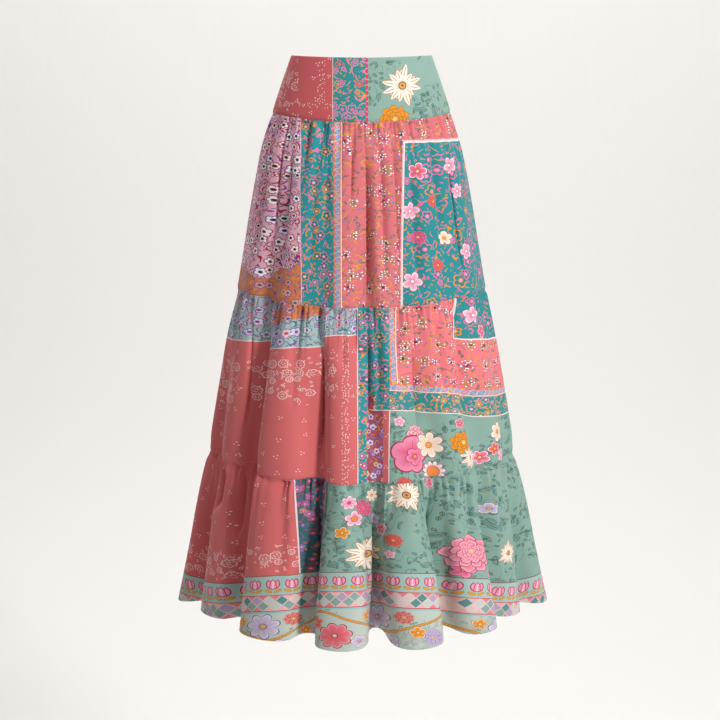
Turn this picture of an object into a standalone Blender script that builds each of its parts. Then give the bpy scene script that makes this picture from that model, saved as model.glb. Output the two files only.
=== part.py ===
"""Three-tier gathered maxi skirt in the hollow form that it has when it is worn.

Metres, +Z up. The origin is the centre of the waist opening and the front faces -Y.
An angle is measured round the body from the centre front, towards +X.
"""

import math

import bmesh
import bpy
from mathutils import Vector

# Driving sizes of the cloth
CLOTH_THICKNESS = 0.0018
SEAM_GAP = 0.0003
YOKE_LENGTH = 0.098
TIER_1_LENGTH = 0.307
TIER_2_LENGTH = 0.292
TIER_3_LENGTH = 0.277

YOKE_SEAM = YOKE_LENGTH
TIER_1_SEAM = YOKE_SEAM + TIER_1_LENGTH
TIER_2_SEAM = TIER_1_SEAM + TIER_2_LENGTH
HEM = TIER_2_SEAM + TIER_3_LENGTH

# The outline of the skirt over its outermost folds, ring by ring.
# Columns: depth below the waist at the side, half width, half depth from front to back.
RINGS = (
    (0.000, 0.1223, 0.0920),
    (0.034, 0.1347, 0.1015),
    (0.075, 0.1489, 0.1125),
    (0.098, 0.1560, 0.1180),
    (0.162, 0.1759, 0.1340),
    (0.249, 0.1934, 0.1490),
    (0.338, 0.2085, 0.1615),
    (0.405, 0.2205, 0.1710),
    (0.480, 0.2378, 0.1870),
    (0.562, 0.2522, 0.2020),
    (0.662, 0.2695, 0.2190),
    (0.697, 0.2730, 0.2235),
    (0.718, 0.2824, 0.2320),
    (0.792, 0.2980, 0.2450),
    (0.867, 0.3119, 0.2570),
    (0.974, 0.3345, 0.2760),
)

# How far the seams and edges hang lower at the centre front and back than at the sides.
# Columns: depth below the waist at the side, drop at the centre.
DROPS = (
    (0.000, 0.0045),
    (0.098, 0.0130),
    (0.405, 0.0150),
    (0.697, 0.0140),
    (0.974, 0.0080),
)

# The hanging folds, crest and valley by turns, all the way round.
# Columns: angle at the tier 1 seam, inset there, angle at the tier 2 seam, inset there,
# angle at the hem, inset there. Angles in degrees, insets from the outline in metres.
FOLDS = (
    (-88, 0.000, -88, 0.000, -88, 0.000),
    (-77, 0.004, -80, 0.022, -81, 0.058),
    (-67, 0.002, -69, 0.012, -68, 0.030),
    (-51, 0.020, -50, 0.050, -50, 0.078),
    (-36, 0.003, -34, 0.000, -33, 0.012),
    (-20, 0.010, -17, 0.034, -19, 0.070),
    (-10, 0.002, -7, 0.000, -6, -0.001),
    (2, 0.015, 4, 0.020, 6, 0.106),
    (9, 0.003, 15, 0.002, 17, -0.003),
    (18, 0.010, 28, 0.024, 32, 0.088),
    (32, 0.002, 40, 0.002, 43, 0.016),
    (48, 0.010, 52, 0.022, 55, 0.062),
    (62, 0.002, 65, 0.004, 67, 0.032),
    (75, 0.005, 77, 0.018, 78, 0.058),
    (88, 0.000, 88, 0.000, 88, -0.004),
    (99, 0.010, 100, 0.030, 100, 0.072),
    (110, 0.000, 110, 0.004, 109, 0.006),
    (124, 0.014, 123, 0.040, 121, 0.090),
    (136, 0.002, 135, 0.002, 134, 0.004),
    (149, 0.008, 148, 0.026, 147, 0.070),
    (160, 0.002, 160, 0.000, 159, 0.008),
    (172, 0.014, 171, 0.038, 171, 0.100),
    (184, 0.000, 184, 0.002, 184, 0.000),
    (196, 0.010, 197, 0.030, 198, 0.078),
    (208, 0.002, 209, 0.002, 210, 0.010),
    (221, 0.012, 222, 0.036, 222, 0.088),
    (234, 0.000, 235, 0.000, 235, 0.002),
    (247, 0.008, 248, 0.024, 248, 0.066),
    (260, 0.003, 260, 0.004, 260, 0.010),
    (266, 0.006, 266, 0.012, 266, 0.030),
)

# The pieces as they are cut and sewn, each made as a front and a back.
# Columns: name, upper edge, lower edge, columns of each half, heights of its rows below
# the upper edge, gathers all round, their height, colour.
YOKE_ROWS = (0.0, 0.034, 0.068, YOKE_LENGTH)
TIER_1_ROWS = (0.0, 0.010, 0.036, 0.120, TIER_1_LENGTH)
TIER_2_ROWS = (0.0, 0.010, 0.036, 0.130, TIER_2_LENGTH)
TIER_3_ROWS = (0.0, 0.010, 0.034, 0.090, 0.175, TIER_3_LENGTH)
PIECES = (
    ("yoke", 0.0, YOKE_SEAM, 36, YOKE_ROWS, 0, 0.0, (0.56, 0.42, 0.40)),
    ("tier_1", YOKE_SEAM, TIER_1_SEAM, 90, TIER_1_ROWS, 30, 0.0042, (0.75, 0.32, 0.36)),
    ("tier_2", TIER_1_SEAM, TIER_2_SEAM, 108, TIER_2_ROWS, 36, 0.0050, (0.66, 0.24, 0.24)),
    ("tier_3", TIER_2_SEAM, HEM, 132, TIER_3_ROWS, 44, 0.0060, (0.38, 0.56, 0.49)),
)

# How a gather swells below its seam, how far down it runs out, and the share of its
# height by which it lies deeper than the outline
GATHER_SWELL = 0.009
GATHER_REACH = 0.075
GATHER_DEPTH = 0.4

# The unevenness of the gathers round the body.
# Columns: shift of the gathers in radians, number of such shifts round the body, phase.
GATHER_SHIFTS = (
    (1.1, 3.0, 0.0),
    (0.7, 5.0, 1.0),
)

# The lowest share of a gather's full height, and how often round the body it is reached
LOWEST_GATHER = 0.36
LOW_PLACES = 7.0

# The width in degrees beside a side seam where its allowances keep the cloth flat
FLAT_AT_SIDE_SEAM = 5.0

# How far a fold's flanks lean over its valley, as shares of the flank's width
FLANK_ROUNDING = 0.20
FLANK_OVERHANG = 0.13

# The rise of a flank, in metres, from which it leans over in full
STEEP_FLANK = 0.06

# How much a valley's edge is pulled up, as a share of its inset
VALLEY_LIFT = 0.06

HALVES = (("front", -90.0, 90.0), ("back", 90.0, 270.0))

# The small step in degrees over which a direction along the cloth is taken
ANGLE_STEP = 0.05


def smooth(share):
    """A share from 0 to 1 that starts and ends level."""
    share = min(max(share, 0.0), 1.0)
    return share * share * (3.0 - 2.0 * share)


def between(table, depth, column):
    """A column of a table of rings at a depth, on a smooth curve through its rows."""
    last = len(table) - 2
    row = 0
    while row < last and depth > table[row + 1][0]:
        row += 1

    def slope(index):
        low = max(index - 1, 0)
        high = min(index + 1, len(table) - 1)
        rise = table[high][column] - table[low][column]
        return rise / (table[high][0] - table[low][0])

    span = table[row + 1][0] - table[row][0]
    share = (depth - table[row][0]) / span
    square = share * share
    cube = square * share
    start_part = (2 * cube - 3 * square + 1) * table[row][column]
    end_part = (3 * square - 2 * cube) * table[row + 1][column]
    start_turn = (cube - 2 * square + share) * span * slope(row)
    end_turn = (cube - square) * span * slope(row + 1)
    return start_part + end_part + start_turn + end_turn


def fold_at(fold, depth):
    """The angle in degrees and the inset of one crest or valley at a depth."""
    seam_1_angle, seam_1_inset, seam_2_angle, seam_2_inset, hem_angle, hem_inset = fold
    if depth <= TIER_1_SEAM:
        share = smooth((depth - YOKE_SEAM) / TIER_1_LENGTH)
        return seam_1_angle, seam_1_inset * share
    if depth <= TIER_2_SEAM:
        share = smooth((depth - TIER_1_SEAM) / TIER_2_LENGTH)
        angle = seam_1_angle + (seam_2_angle - seam_1_angle) * share
        return angle, seam_1_inset + (seam_2_inset - seam_1_inset) * share
    share = (depth - TIER_2_SEAM) / TIER_3_LENGTH
    angle = seam_2_angle + (hem_angle - seam_2_angle) * smooth(share)
    return angle, seam_2_inset + (hem_inset - seam_2_inset) * share


def folds_at(angle, depth):
    """The inset of the cloth at an angle in degrees, and its sideways lean in degrees."""
    first = FOLDS[0][4]
    turn = (angle - first) % 360.0 + first
    count = len(FOLDS)
    for index in range(count):
        here_angle, here_inset = fold_at(FOLDS[index], depth)
        next_angle, next_inset = fold_at(FOLDS[(index + 1) % count], depth)
        if index == count - 1:
            next_angle += 360.0
        if here_angle <= turn < next_angle or index == count - 1:
            break
    width = next_angle - here_angle
    share = (turn - here_angle) / width
    rise = 0.5 - 0.5 * math.cos(math.pi * share)
    inset = here_inset + (next_inset - here_inset) * rise
    towards_valley = 1.0 if next_inset > here_inset else -1.0
    steepness = smooth(abs(next_inset - here_inset) / STEEP_FLANK)
    rounding = FLANK_ROUNDING * math.sin(math.pi * share) * towards_valley
    overhang = FLANK_OVERHANG * math.sin(2.0 * math.pi * share)
    return inset, width * steepness * (rounding + overhang)


def gather_wave(angle, gathers):
    """Uneven gathers round the body, from -1 in a dip to 1 on a swell."""
    turn = math.radians(angle)
    from_side_seam = abs((angle % 180.0) - 90.0)
    phase = gathers * turn
    for shift, count, start in GATHER_SHIFTS:
        phase += shift * math.sin(count * turn + start)
    fullness = 0.5 + 0.5 * math.sin(LOW_PLACES * turn + gathers)
    height = LOWEST_GATHER + (1.0 - LOWEST_GATHER) * fullness
    return height * math.sin(phase) * smooth(from_side_seam / FLAT_AT_SIDE_SEAM)


def gather_rise(angle, below_seam, gathers, height):
    """How far the cloth swells out of, or sinks into, the outline below a gathered seam."""
    if gathers == 0:
        return 0.0
    opening = smooth(below_seam / GATHER_SWELL)
    running_out = math.exp(-((below_seam / GATHER_REACH) ** 2))
    return height * opening * running_out * (gather_wave(angle, gathers) - GATHER_DEPTH)


def outer_point(angle, depth, upper_edge, gathers, height):
    """A point of the outer face, for an angle in degrees and a depth at the side."""
    inset, lean = folds_at(angle, depth)
    swell = gather_rise(angle, depth - upper_edge, gathers, height)
    turn = math.radians(angle + lean)
    half_width = between(RINGS, depth, 1) - inset + swell
    half_depth = between(RINGS, depth, 2) - inset + swell
    drop = between(DROPS, depth, 1) * math.cos(turn) ** 2
    lower = depth + drop - VALLEY_LIFT * inset
    return Vector((half_width * math.sin(turn), -half_depth * math.cos(turn), -lower))


def wall_point(angle, depth, layer, upper_edge, gathers, height):
    """A point of the wall. Layer 0 is its outer face and layer 1 its inner face."""
    point = outer_point(angle, depth, upper_edge, gathers, height)
    if layer == 0:
        return point
    ahead = outer_point(angle + ANGLE_STEP, depth, upper_edge, gathers, height)
    behind = outer_point(angle - ANGLE_STEP, depth, upper_edge, gathers, height)
    along = ahead - behind
    outward = Vector((along.y, -along.x, 0.0)).normalized()
    return point - outward * CLOTH_THICKNESS


def angle_of_gap(angle, depth, upper_edge, gathers, height):
    """The angle in degrees that takes up half a seam gap at a side seam."""
    ahead = outer_point(angle + ANGLE_STEP, depth, upper_edge, gathers, height)
    behind = outer_point(angle - ANGLE_STEP, depth, upper_edge, gathers, height)
    return SEAM_GAP * ANGLE_STEP / (ahead - behind).length


def print_material(name, colour):
    """A plain cotton finish in the main colour of a piece's print."""
    material = bpy.data.materials.new(name + "_print")
    material.use_nodes = True
    shader = material.node_tree.nodes["Principled BSDF"]
    shader.inputs["Base Color"].default_value = (*colour, 1.0)
    shader.inputs["Roughness"].default_value = 0.85
    shader.inputs["Metallic"].default_value = 0.0
    material.diffuse_color = (*colour, 1.0)
    return material


def cloth_panel(name, piece, start, end, material):
    """One cut panel: a flat slab of cloth with its seams, carried onto the worn form."""
    _, upper_edge, lower_edge, columns, rows, gathers, height, _ = piece
    last_row = len(rows) - 1
    bm = bmesh.new()
    bmesh.ops.create_grid(bm, x_segments=columns, y_segments=last_row, size=0.5)
    slab = bmesh.ops.extrude_face_region(bm, geom=bm.faces[:], use_keep_orig=True)
    inner = [item for item in slab["geom"] if isinstance(item, bmesh.types.BMVert)]
    bmesh.ops.translate(bm, verts=inner, vec=(0.0, 0.0, -1.0))
    bmesh.ops.recalc_face_normals(bm, faces=bm.faces[:])
    for vert in bm.verts:
        column = round((vert.co.x + 0.5) * columns)
        row = round((0.5 - vert.co.y) * last_row)
        layer = round(-vert.co.z)
        angle = start + (end - start) * column / columns
        depth = upper_edge + rows[row]
        if row == 0 and upper_edge > 0.0:
            depth += 0.5 * SEAM_GAP
        if row == last_row and lower_edge < HEM:
            depth -= 0.5 * SEAM_GAP
        gap = angle_of_gap(angle, depth, upper_edge, gathers, height)
        if column == 0:
            angle += gap
        if column == columns:
            angle -= gap
        vert.co = wall_point(angle, depth, layer, upper_edge, gathers, height)
    mesh = bpy.data.meshes.new(name)
    bm.to_mesh(mesh)
    bm.free()
    mesh.materials.append(material)
    mesh.shade_smooth()
    mesh.set_sharp_from_angle(angle=math.radians(60.0))
    panel = bpy.data.objects.new(name, mesh)
    bpy.context.scene.collection.objects.link(panel)
    return panel


def clear_scene():
    """Empties the scene of the objects that Blender starts with."""
    for old in list(bpy.data.objects):
        bpy.data.objects.remove(old)


def build_skirt():
    """The yoke and the three gathered tiers, a front and a back of each."""
    for piece in PIECES:
        name = piece[0]
        material = print_material(name, piece[-1])
        for half, start, end in HALVES:
            cloth_panel(f"{name}_{half}", piece, start, end, material)


clear_scene()
build_skirt()
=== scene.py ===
"""A worn three-tier maxi skirt in printed cotton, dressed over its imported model.

Metres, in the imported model's frame: +Z up, the front faces -Y, and the origin is the
centre of the waist opening. A place on the cloth is how far it is round the body from
the centre of its panel, and how far down the print it is.
"""

import math
import random

import bmesh
import bpy
import numpy as np
from mathutils import Matrix, Vector


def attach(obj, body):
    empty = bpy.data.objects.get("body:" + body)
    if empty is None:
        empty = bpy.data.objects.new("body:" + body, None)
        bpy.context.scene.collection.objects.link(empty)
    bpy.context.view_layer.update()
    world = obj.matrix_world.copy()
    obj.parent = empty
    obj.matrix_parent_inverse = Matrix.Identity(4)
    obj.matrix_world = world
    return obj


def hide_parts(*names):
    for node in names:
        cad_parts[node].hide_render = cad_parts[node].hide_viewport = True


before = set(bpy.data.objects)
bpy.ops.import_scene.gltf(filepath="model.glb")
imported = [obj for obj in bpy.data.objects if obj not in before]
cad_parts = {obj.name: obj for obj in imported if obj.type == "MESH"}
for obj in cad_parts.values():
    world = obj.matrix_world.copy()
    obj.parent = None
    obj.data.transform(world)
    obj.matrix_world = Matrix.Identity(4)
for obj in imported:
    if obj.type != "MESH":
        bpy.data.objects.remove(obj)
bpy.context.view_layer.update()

# Yoke. The fitted upper part that holds the skirt at the waist. A front and a back are cut
# with a slight curve from printed cotton, turned in at the waist and sewn at the sides.
WAIST = 0.0
YOKE_SEAM = 0.098
HEM = 0.974
CLOTH = 0.0009
RINGS = (  # depth below the waist at the side, half width, half depth
    (0.000, 0.1223, 0.0920),
    (0.034, 0.1347, 0.1015),
    (0.075, 0.1489, 0.1125),
    (0.098, 0.1560, 0.1180),
    (0.162, 0.1759, 0.1340),
    (0.249, 0.1934, 0.1490),
    (0.338, 0.2085, 0.1615),
    (0.405, 0.2205, 0.1710),
    (0.480, 0.2378, 0.1870),
    (0.562, 0.2522, 0.2020),
    (0.662, 0.2695, 0.2190),
    (0.697, 0.2730, 0.2235),
    (0.718, 0.2824, 0.2320),
    (0.792, 0.2980, 0.2450),
    (0.867, 0.3119, 0.2570),
    (0.974, 0.3345, 0.2760),
)
DROPS = (  # depth below the waist at the side, drop at the centre
    (0.000, 0.0045),
    (0.098, 0.0130),
    (0.405, 0.0150),
    (0.697, 0.0140),
    (0.974, 0.0080),
)
# A seam draws the cloth in by a tuck, over this reach, and the bottom of a deep fold hangs
# higher by this share of its depth.
SEAM_TUCK = 0.0016
SEAM_TUCK_REACH = 0.0030
VALLEY_LIFT = 0.06
HALVES = (("front", 0.0), ("back", 180.0))


def eased(share):
    """Shares from 0 to 1 that start and end level."""
    share = np.clip(share, 0.0, 1.0)
    return share * share * (3.0 - 2.0 * share)


def between(table, depth, column):
    """A column of a table of rings at a depth, on a smooth curve through its rows."""
    last = len(table) - 2
    row = 0
    while row < last and depth > table[row + 1][0]:
        row += 1

    def slope(index):
        low = max(index - 1, 0)
        high = min(index + 1, len(table) - 1)
        rise = table[high][column] - table[low][column]
        return rise / (table[high][0] - table[low][0])

    step = table[row + 1][0] - table[row][0]
    share = (depth - table[row][0]) / step
    square = share * share
    cube = square * share
    start_part = (2 * cube - 3 * square + 1) * table[row][column]
    end_part = (3 * square - 2 * cube) * table[row + 1][column]
    start_turn = (cube - 2 * square + share) * step * slope(row)
    end_turn = (cube - square) * step * slope(row + 1)
    return start_part + end_part + start_turn + end_turn


# The print lies straight across each panel, while seams and hem are cut in a curve, so a
# line of the print is lower on the cloth at the sides than at the centre. It dips into the
# folds and leans with them in part. Beyond PRINT_FRONT, in degrees, it runs along the cloth.
PRINT_CURVE = 0.098
PRINT_DIP = 0.30
PRINT_LEAN = 0.6
PRINT_FRONT = 60.0


def print_places(from_centre, depth, half_width, points, inset, lean):
    """Where the cloth of one row lies in the print, for angles from its panel's centre."""
    turn = np.radians(from_centre + PRINT_LEAN * lean)
    down = depth * (1.0 + PRINT_CURVE * np.cos(turn) ** 2) - PRINT_DIP * inset
    across = half_width * np.sin(turn)
    steps = np.linalg.norm(np.diff(points, axis=0), axis=1)
    along = np.concatenate([[0.0], np.cumsum(steps)])
    right = np.searchsorted(from_centre, PRINT_FRONT)
    left = len(from_centre) - 1 - right
    across[right:] = across[right] + along[right:] - along[right]
    across[: left + 1] = across[left] + along[: left + 1] - along[left]
    return np.stack([across, down, np.zeros_like(across)], axis=1)


def cloth_row(angles, depth, edges, shape):
    """The points of one row of cloth at angles in degrees, 0 at the centre front.

    edges are the row's distances from the panel's upper and lower seam. shape gives how
    far the cloth lies inside the outline, and how far it leans sideways, in degrees.
    """
    inset, lean = shape(angles, depth)
    for edge in edges:
        inset = inset + SEAM_TUCK * math.exp(-((edge / SEAM_TUCK_REACH) ** 2))
    from_side = np.radians(90.0 - np.abs((angles + 90.0) % 180.0 - 90.0))
    half_width = between(RINGS, depth, 1)
    half_depth = between(RINGS, depth, 2)
    beside = half_depth * from_side
    inset = inset + SEAM_TUCK * np.exp(-((beside / SEAM_TUCK_REACH) ** 2))
    turn = np.radians(angles + lean)
    drop = between(DROPS, depth, 1) * np.cos(turn) ** 2
    height = -(depth + drop - VALLEY_LIFT * inset)
    across = (half_width - inset) * np.sin(turn)
    ahead = -(half_depth - inset) * np.cos(turn)
    return np.stack([across, ahead, height], axis=1)


def moved_inside(row, inside):
    """A row of cloth moved level towards the inside, square to its own run."""
    run = np.gradient(row[:, :2], axis=0)
    run = run / np.linalg.norm(run, axis=1)[:, None]
    inward = np.stack([-run[:, 1], run[:, 0], np.zeros(len(row))], axis=1)
    return row + inward * inside


# How much closer the grid's columns stand at a crease, over how many of its half widths, and
# how much closer the rows stand at a panel's edges.
COLUMN_CROWDING = 1.6
CROWDING_REACH = 1.6
ROW_CROWDING = 0.45
# Columns are first counted out at every twentieth of a degree.
FINE_ANGLES = np.linspace(-90.0, 90.0, 3601)


def column_angles(centre, columns, creases):
    """The columns of a panel's grid, closer together where a crease needs them."""
    crowding = np.ones_like(FINE_ANGLES)
    for angle, _, _, width, _, _ in creases:
        gap = (FINE_ANGLES + centre - angle + 180.0) % 360.0 - 180.0
        crowding += COLUMN_CROWDING * np.exp(-((gap / (CROWDING_REACH * width)) ** 2))
    share = np.cumsum(crowding) - crowding[0]
    return np.interp(np.linspace(0.0, share[-1], columns + 1), share, FINE_ANGLES)


def made_object(name, bm):
    """A finished bmesh as an object of the scene, smoothly shaded."""
    mesh = bpy.data.meshes.new(name)
    bm.to_mesh(mesh)
    bm.free()
    mesh.shade_smooth()
    made = bpy.data.objects.new(name, mesh)
    bpy.context.scene.collection.objects.link(made)
    return made


def drape_panel(
    name, centre, depths, grid, shape, prints, creases=(), partings=(), before=(), after=()
):
    """One panel of cloth from seam to seam, as a grid that is laid onto the worn form.

    prints are its materials from left to right, which change at the partings.
    before and after are rows of cloth turned to the inside: depth, distance inside, shape.
    """
    upper, lower = depths
    columns, rows = grid
    from_centre = column_angles(centre, columns, creases)
    still = np.zeros_like(from_centre)
    shares = np.arange(rows + 1) / rows
    crowded = 0.5 - 0.5 * np.cos(math.pi * shares)
    shares = (1.0 - ROW_CROWDING) * shares + ROW_CROWDING * crowded
    seen = [(upper + (lower - upper) * share, 0.0, shape) for share in shares]
    points, places = [], []
    for depth, inside, form in (*before, *seen, *after):
        above = abs(depth - upper) if upper > WAIST else 1.0
        below = abs(lower - depth) if lower < HEM else 1.0
        row = cloth_row(from_centre + centre, depth, (above, below), form)
        points.append(moved_inside(row, inside))
        hang = hanging(from_centre + centre, depth) if upper > WAIST else (still, still)
        half_width = between(RINGS, depth, 1)
        places.append(print_places(from_centre, depth, half_width, points[-1], *hang))
    rows = len(points) - 1
    bm = bmesh.new()
    bmesh.ops.create_grid(bm, x_segments=columns, y_segments=rows, size=0.5)
    place = bm.verts.layers.float_vector.new("cloth_place")
    for vert in bm.verts:
        column = round((vert.co.x + 0.5) * columns)
        row = round((0.5 - vert.co.y) * rows)
        vert.co = points[row][column]
        vert[place] = places[row][column]
    for face in bm.faces:
        middle = sum(vert[place].x for vert in face.verts) / 4.0
        face.material_index = sum(middle > parting for parting in partings)
    panel = made_object(name, bm)
    for material in (*prints, white_reverse):
        panel.data.materials.append(material)
    wall = panel.modifiers.new("cloth thickness", "SOLIDIFY")
    wall.thickness = CLOTH
    wall.offset = -1.0
    wall.material_offset = len(prints)
    return panel


def fitted(angles, depth):
    """The yoke lies smooth on the outline, with no folds."""
    return np.zeros_like(angles), np.zeros_like(angles)


class Reading:
    """A number that a print works out at each point of the cloth."""

    def __init__(self, socket):
        self.socket = socket

    def __add__(self, other):
        return worked("ADD", self, other)

    def __radd__(self, other):
        return worked("ADD", other, self)

    def __sub__(self, other):
        return worked("SUBTRACT", self, other)

    def __rsub__(self, other):
        return worked("SUBTRACT", other, self)

    def __mul__(self, other):
        return worked("MULTIPLY", self, other)

    def __rmul__(self, other):
        return worked("MULTIPLY", other, self)

    def __truediv__(self, other):
        return worked("DIVIDE", self, other)

    def __rtruediv__(self, other):
        return worked("DIVIDE", other, self)

    def __mod__(self, other):
        return worked("FLOORED_MODULO", self, other)

    def __pow__(self, other):
        return worked("POWER", self, other)

    def __gt__(self, other):
        return worked("GREATER_THAN", self, other)

    def __lt__(self, other):
        return worked("LESS_THAN", self, other)

    def __or__(self, other):
        return worked("MAXIMUM", self, other)

    def __abs__(self):
        return worked("ABSOLUTE", self)


def feed(socket, value):
    """Links a reading or another socket into a node's socket, or sets a plain value on it."""
    if isinstance(value, Reading):
        value = value.socket
    if isinstance(value, bpy.types.NodeSocket):
        socket.id_data.links.new(value, socket)
    else:
        socket.default_value = value


def worked(operation, *values):
    """One Math node on readings and plain numbers."""
    tree = next(value.socket.id_data for value in values if isinstance(value, Reading))
    node = tree.nodes.new("ShaderNodeMath")
    node.operation = operation
    for socket, value in zip(node.inputs, values):
        feed(socket, value)
    return Reading(node.outputs[0])


def sine(angle):
    """The sine of a reading in radians."""
    return worked("SINE", angle)


def cosine(angle):
    """The cosine of a reading in radians."""
    return worked("COSINE", angle)


def span(reading, low, high):
    """1 where a reading lies between two limits, and 0 elsewhere."""
    return (reading > low) * (reading < high)


def distance(x, y):
    """How far a point is from a motif's centre."""
    return worked("SQRT", x * x + y * y)


def oval(along, beside, half_length, half_width):
    """1 on the rim of an oval, less inside it and more outside."""
    along = along / half_length
    beside = beside / half_width
    return along * along + beside * beside


def polar(x, y):
    """The angle and the distance of a point from a motif's centre."""
    return worked("ARCTAN2", y, x), distance(x, y)


# A random lot from 0 to 1 times this turns a motif any way round, in radians.
WHOLE_TURN = 6.3


def turned(x, y, share):
    """A point in a motif's own directions, when the motif is turned by a share of a turn."""
    angle = share * WHOLE_TURN
    along = x * cosine(angle) + y * sine(angle)
    return along, y * cosine(angle) - x * sine(angle)


def ink(code):
    """A printing ink from its screen colour, such as D96C6C, as a linear colour."""
    shares = [int(code[start : start + 2], 16) / 255.0 for start in (0, 2, 4)]
    linear = [
        share / 12.92 if share <= 0.04045 else ((share + 0.055) / 1.055) ** 2.4
        for share in shares
    ]
    return (*linear, 1.0)


def paint(under, over, where):
    """Lays one ink over another where a reading is 1."""
    node = where.socket.id_data.nodes.new("ShaderNodeMix")
    node.data_type = "RGBA"
    # A Mix node's sockets for colours are its first, seventh and eighth
    for number, value in ((0, where), (6, under), (7, over)):
        feed(node.inputs[number], value)
    return node.outputs[2]


def socket_title(title):
    """The name of a group's socket: ink_1 becomes Ink 1."""
    return title.replace("_", " ").capitalize()


def start_print(name, **inputs):
    """A shader group for one print or motif, and the values that it is given."""
    group = bpy.data.node_groups.new(name, "ShaderNodeTree")
    group.interface.new_socket(name="Place", in_out="INPUT", socket_type="NodeSocketVector")
    for title, value in inputs.items():
        kind = "NodeSocketFloat" if isinstance(value, float) else "NodeSocketColor"
        socket = group.interface.new_socket(
            name=socket_title(title), in_out="INPUT", socket_type=kind
        )
        socket.default_value = value
    return group, group.nodes.new("NodeGroupInput").outputs


def end_print(group, **outputs):
    """Gives a group its outputs, such as the colour that it prints and where it prints."""
    leaving = group.nodes.new("NodeGroupOutput")
    for title, value in outputs.items():
        kind = "NodeSocketFloat" if isinstance(value, Reading) else "NodeSocketColor"
        group.interface.new_socket(name=socket_title(title), in_out="OUTPUT", socket_type=kind)
        feed(leaving.inputs[socket_title(title)], value)
    return group


def stamp(group, place, **values):
    """Uses a print in another node tree, with values of its own, and returns its node."""
    node = place.id_data.nodes.new("ShaderNodeGroup")
    node.node_tree = group
    for title, value in dict(values, place=place).items():
        feed(node.inputs[socket_title(title)], value)
    return node


def colour_of(group, place, **values):
    """The colour that a print gives at a place on the cloth."""
    return stamp(group, place, **values).outputs["Colour"]


def across_and_down(place):
    """The two directions of a place on the cloth."""
    node = place.id_data.nodes.new("ShaderNodeSeparateXYZ")
    feed(node.inputs[0], place)
    return Reading(node.outputs[0]), Reading(node.outputs[1])


def moved(place, across, down):
    """A place shifted by a fixed step."""
    node = place.id_data.nodes.new("ShaderNodeVectorMath")
    node.operation = "ADD"
    feed(node.inputs[0], place)
    feed(node.inputs[1], (across, down, 0.0))
    return node.outputs[0]


def scattered(place, spacing, looseness):
    """The nearest of many scattered motifs: the point from its centre, and three lots."""
    tree = place.id_data
    cells = tree.nodes.new("ShaderNodeTexVoronoi")
    cells.voronoi_dimensions = "2D"
    feed(cells.inputs["Randomness"], looseness)
    feed(cells.inputs["Scale"], 1.0 / spacing)
    feed(cells.inputs["Vector"], place)
    gap = tree.nodes.new("ShaderNodeVectorMath")
    gap.operation = "SUBTRACT"
    feed(gap.inputs[0], place)
    feed(gap.inputs[1], cells.outputs["Position"])
    x, y = across_and_down(gap.outputs[0])
    lots = tree.nodes.new("ShaderNodeSeparateColor")
    feed(lots.inputs[0], cells.outputs["Color"])
    return x, y, *(Reading(socket) for socket in lots.outputs[:3])


def wavering(place, size, detail=0.0):
    """A soft random reading between about 0.2 and 0.8 that changes over a size."""
    noise = place.id_data.nodes.new("ShaderNodeTexNoise")
    noise.noise_dimensions = "2D"
    feed(noise.inputs["Scale"], 1.0 / size)
    feed(noise.inputs["Detail"], detail)
    feed(noise.inputs["Vector"], place)
    return Reading(noise.outputs["Fac"])


def start_material(name, slot_colour):
    """A new material, and its shader."""
    material = bpy.data.materials.new(name)
    material.use_nodes = True
    material.diffuse_color = slot_colour
    return material, material.node_tree.nodes["Principled BSDF"]


def weave_group():
    """Plain-woven cotton: the rise of the threads over and under each other."""
    group, given = start_print("plain weave", thread=0.00042)
    x, y = across_and_down(given["Place"])
    thread = Reading(given["Thread"])
    warp = sine(x / thread * math.pi)
    weft = sine(y / thread * math.pi)
    slub = wavering(given["Place"], 0.0016, 2.0)
    return end_print(group, rise=warp * weft * 0.5 + slub)


plain_weave = weave_group()


def printed(name, slot_colour, layout):
    """A matt, plain-woven cotton, whose layout gives the colour at each place."""
    material, shader = start_material(name, slot_colour)
    tree = material.node_tree
    reader = tree.nodes.new("ShaderNodeAttribute")
    reader.attribute_name = "cloth_place"
    place = reader.outputs["Vector"]
    rise = Reading(stamp(plain_weave, place).outputs["Rise"])
    bump = tree.nodes.new("ShaderNodeBump")
    feed(bump.inputs["Strength"], 0.25)
    feed(bump.inputs["Distance"], 0.0002)
    feed(bump.inputs["Height"], rise)
    feed(shader.inputs["Normal"], bump.outputs["Normal"])
    feed(shader.inputs["Base Color"], layout(place))
    feed(shader.inputs["Roughness"], rise * 0.08 + 0.72)
    feed(shader.inputs["Specular IOR Level"], 0.35)
    feed(shader.inputs["Sheen Weight"], 0.12)
    feed(shader.inputs["Sheen Roughness"], 0.5)
    return material


def unprinted(place):
    """The reverse of the cloth, which is printed on its face only: a plain, uneven white."""
    return paint(ink("F2F0EC"), ink("E6E3DE"), wavering(place, 0.03, 2.0))


white_reverse = printed("white_reverse", ink("F4F2EE"), unprinted)


def coral_ground():
    """Coral cloth with small sprigs of three white dots, scattered evenly."""
    group, given = start_print("coral sprigs", ground=ink("DB6C6D"), dots=ink("F6E4E0"))
    place = given["Place"]
    x, y, lot, size_lot, turn_lot = scattered(place, 0.030, 0.55)
    angle, far = polar(x, y)
    third = 2.0 * math.pi / 3.0
    from_dot = (angle + turn_lot * WHOLE_TURN) % third - third * 0.5
    ring = 0.0022 + size_lot * 0.0010
    gap = worked("SQRT", far * far + ring * ring - far * ring * 2.0 * cosine(from_dot))
    sprig = (gap < 0.00095) * (lot > 0.15)
    x, y, lot, _, _ = scattered(moved(place, 0.4, 0.7), 0.0085, 1.0)
    fleck = (distance(x, y) < 0.00035) * (lot > 0.55)
    colour = paint(given["Ground"], ink("B04A50"), fleck * 0.6)
    return end_print(group, colour=paint(colour, given["Dots"], sprig))


coral_sprigs = coral_ground()


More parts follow.
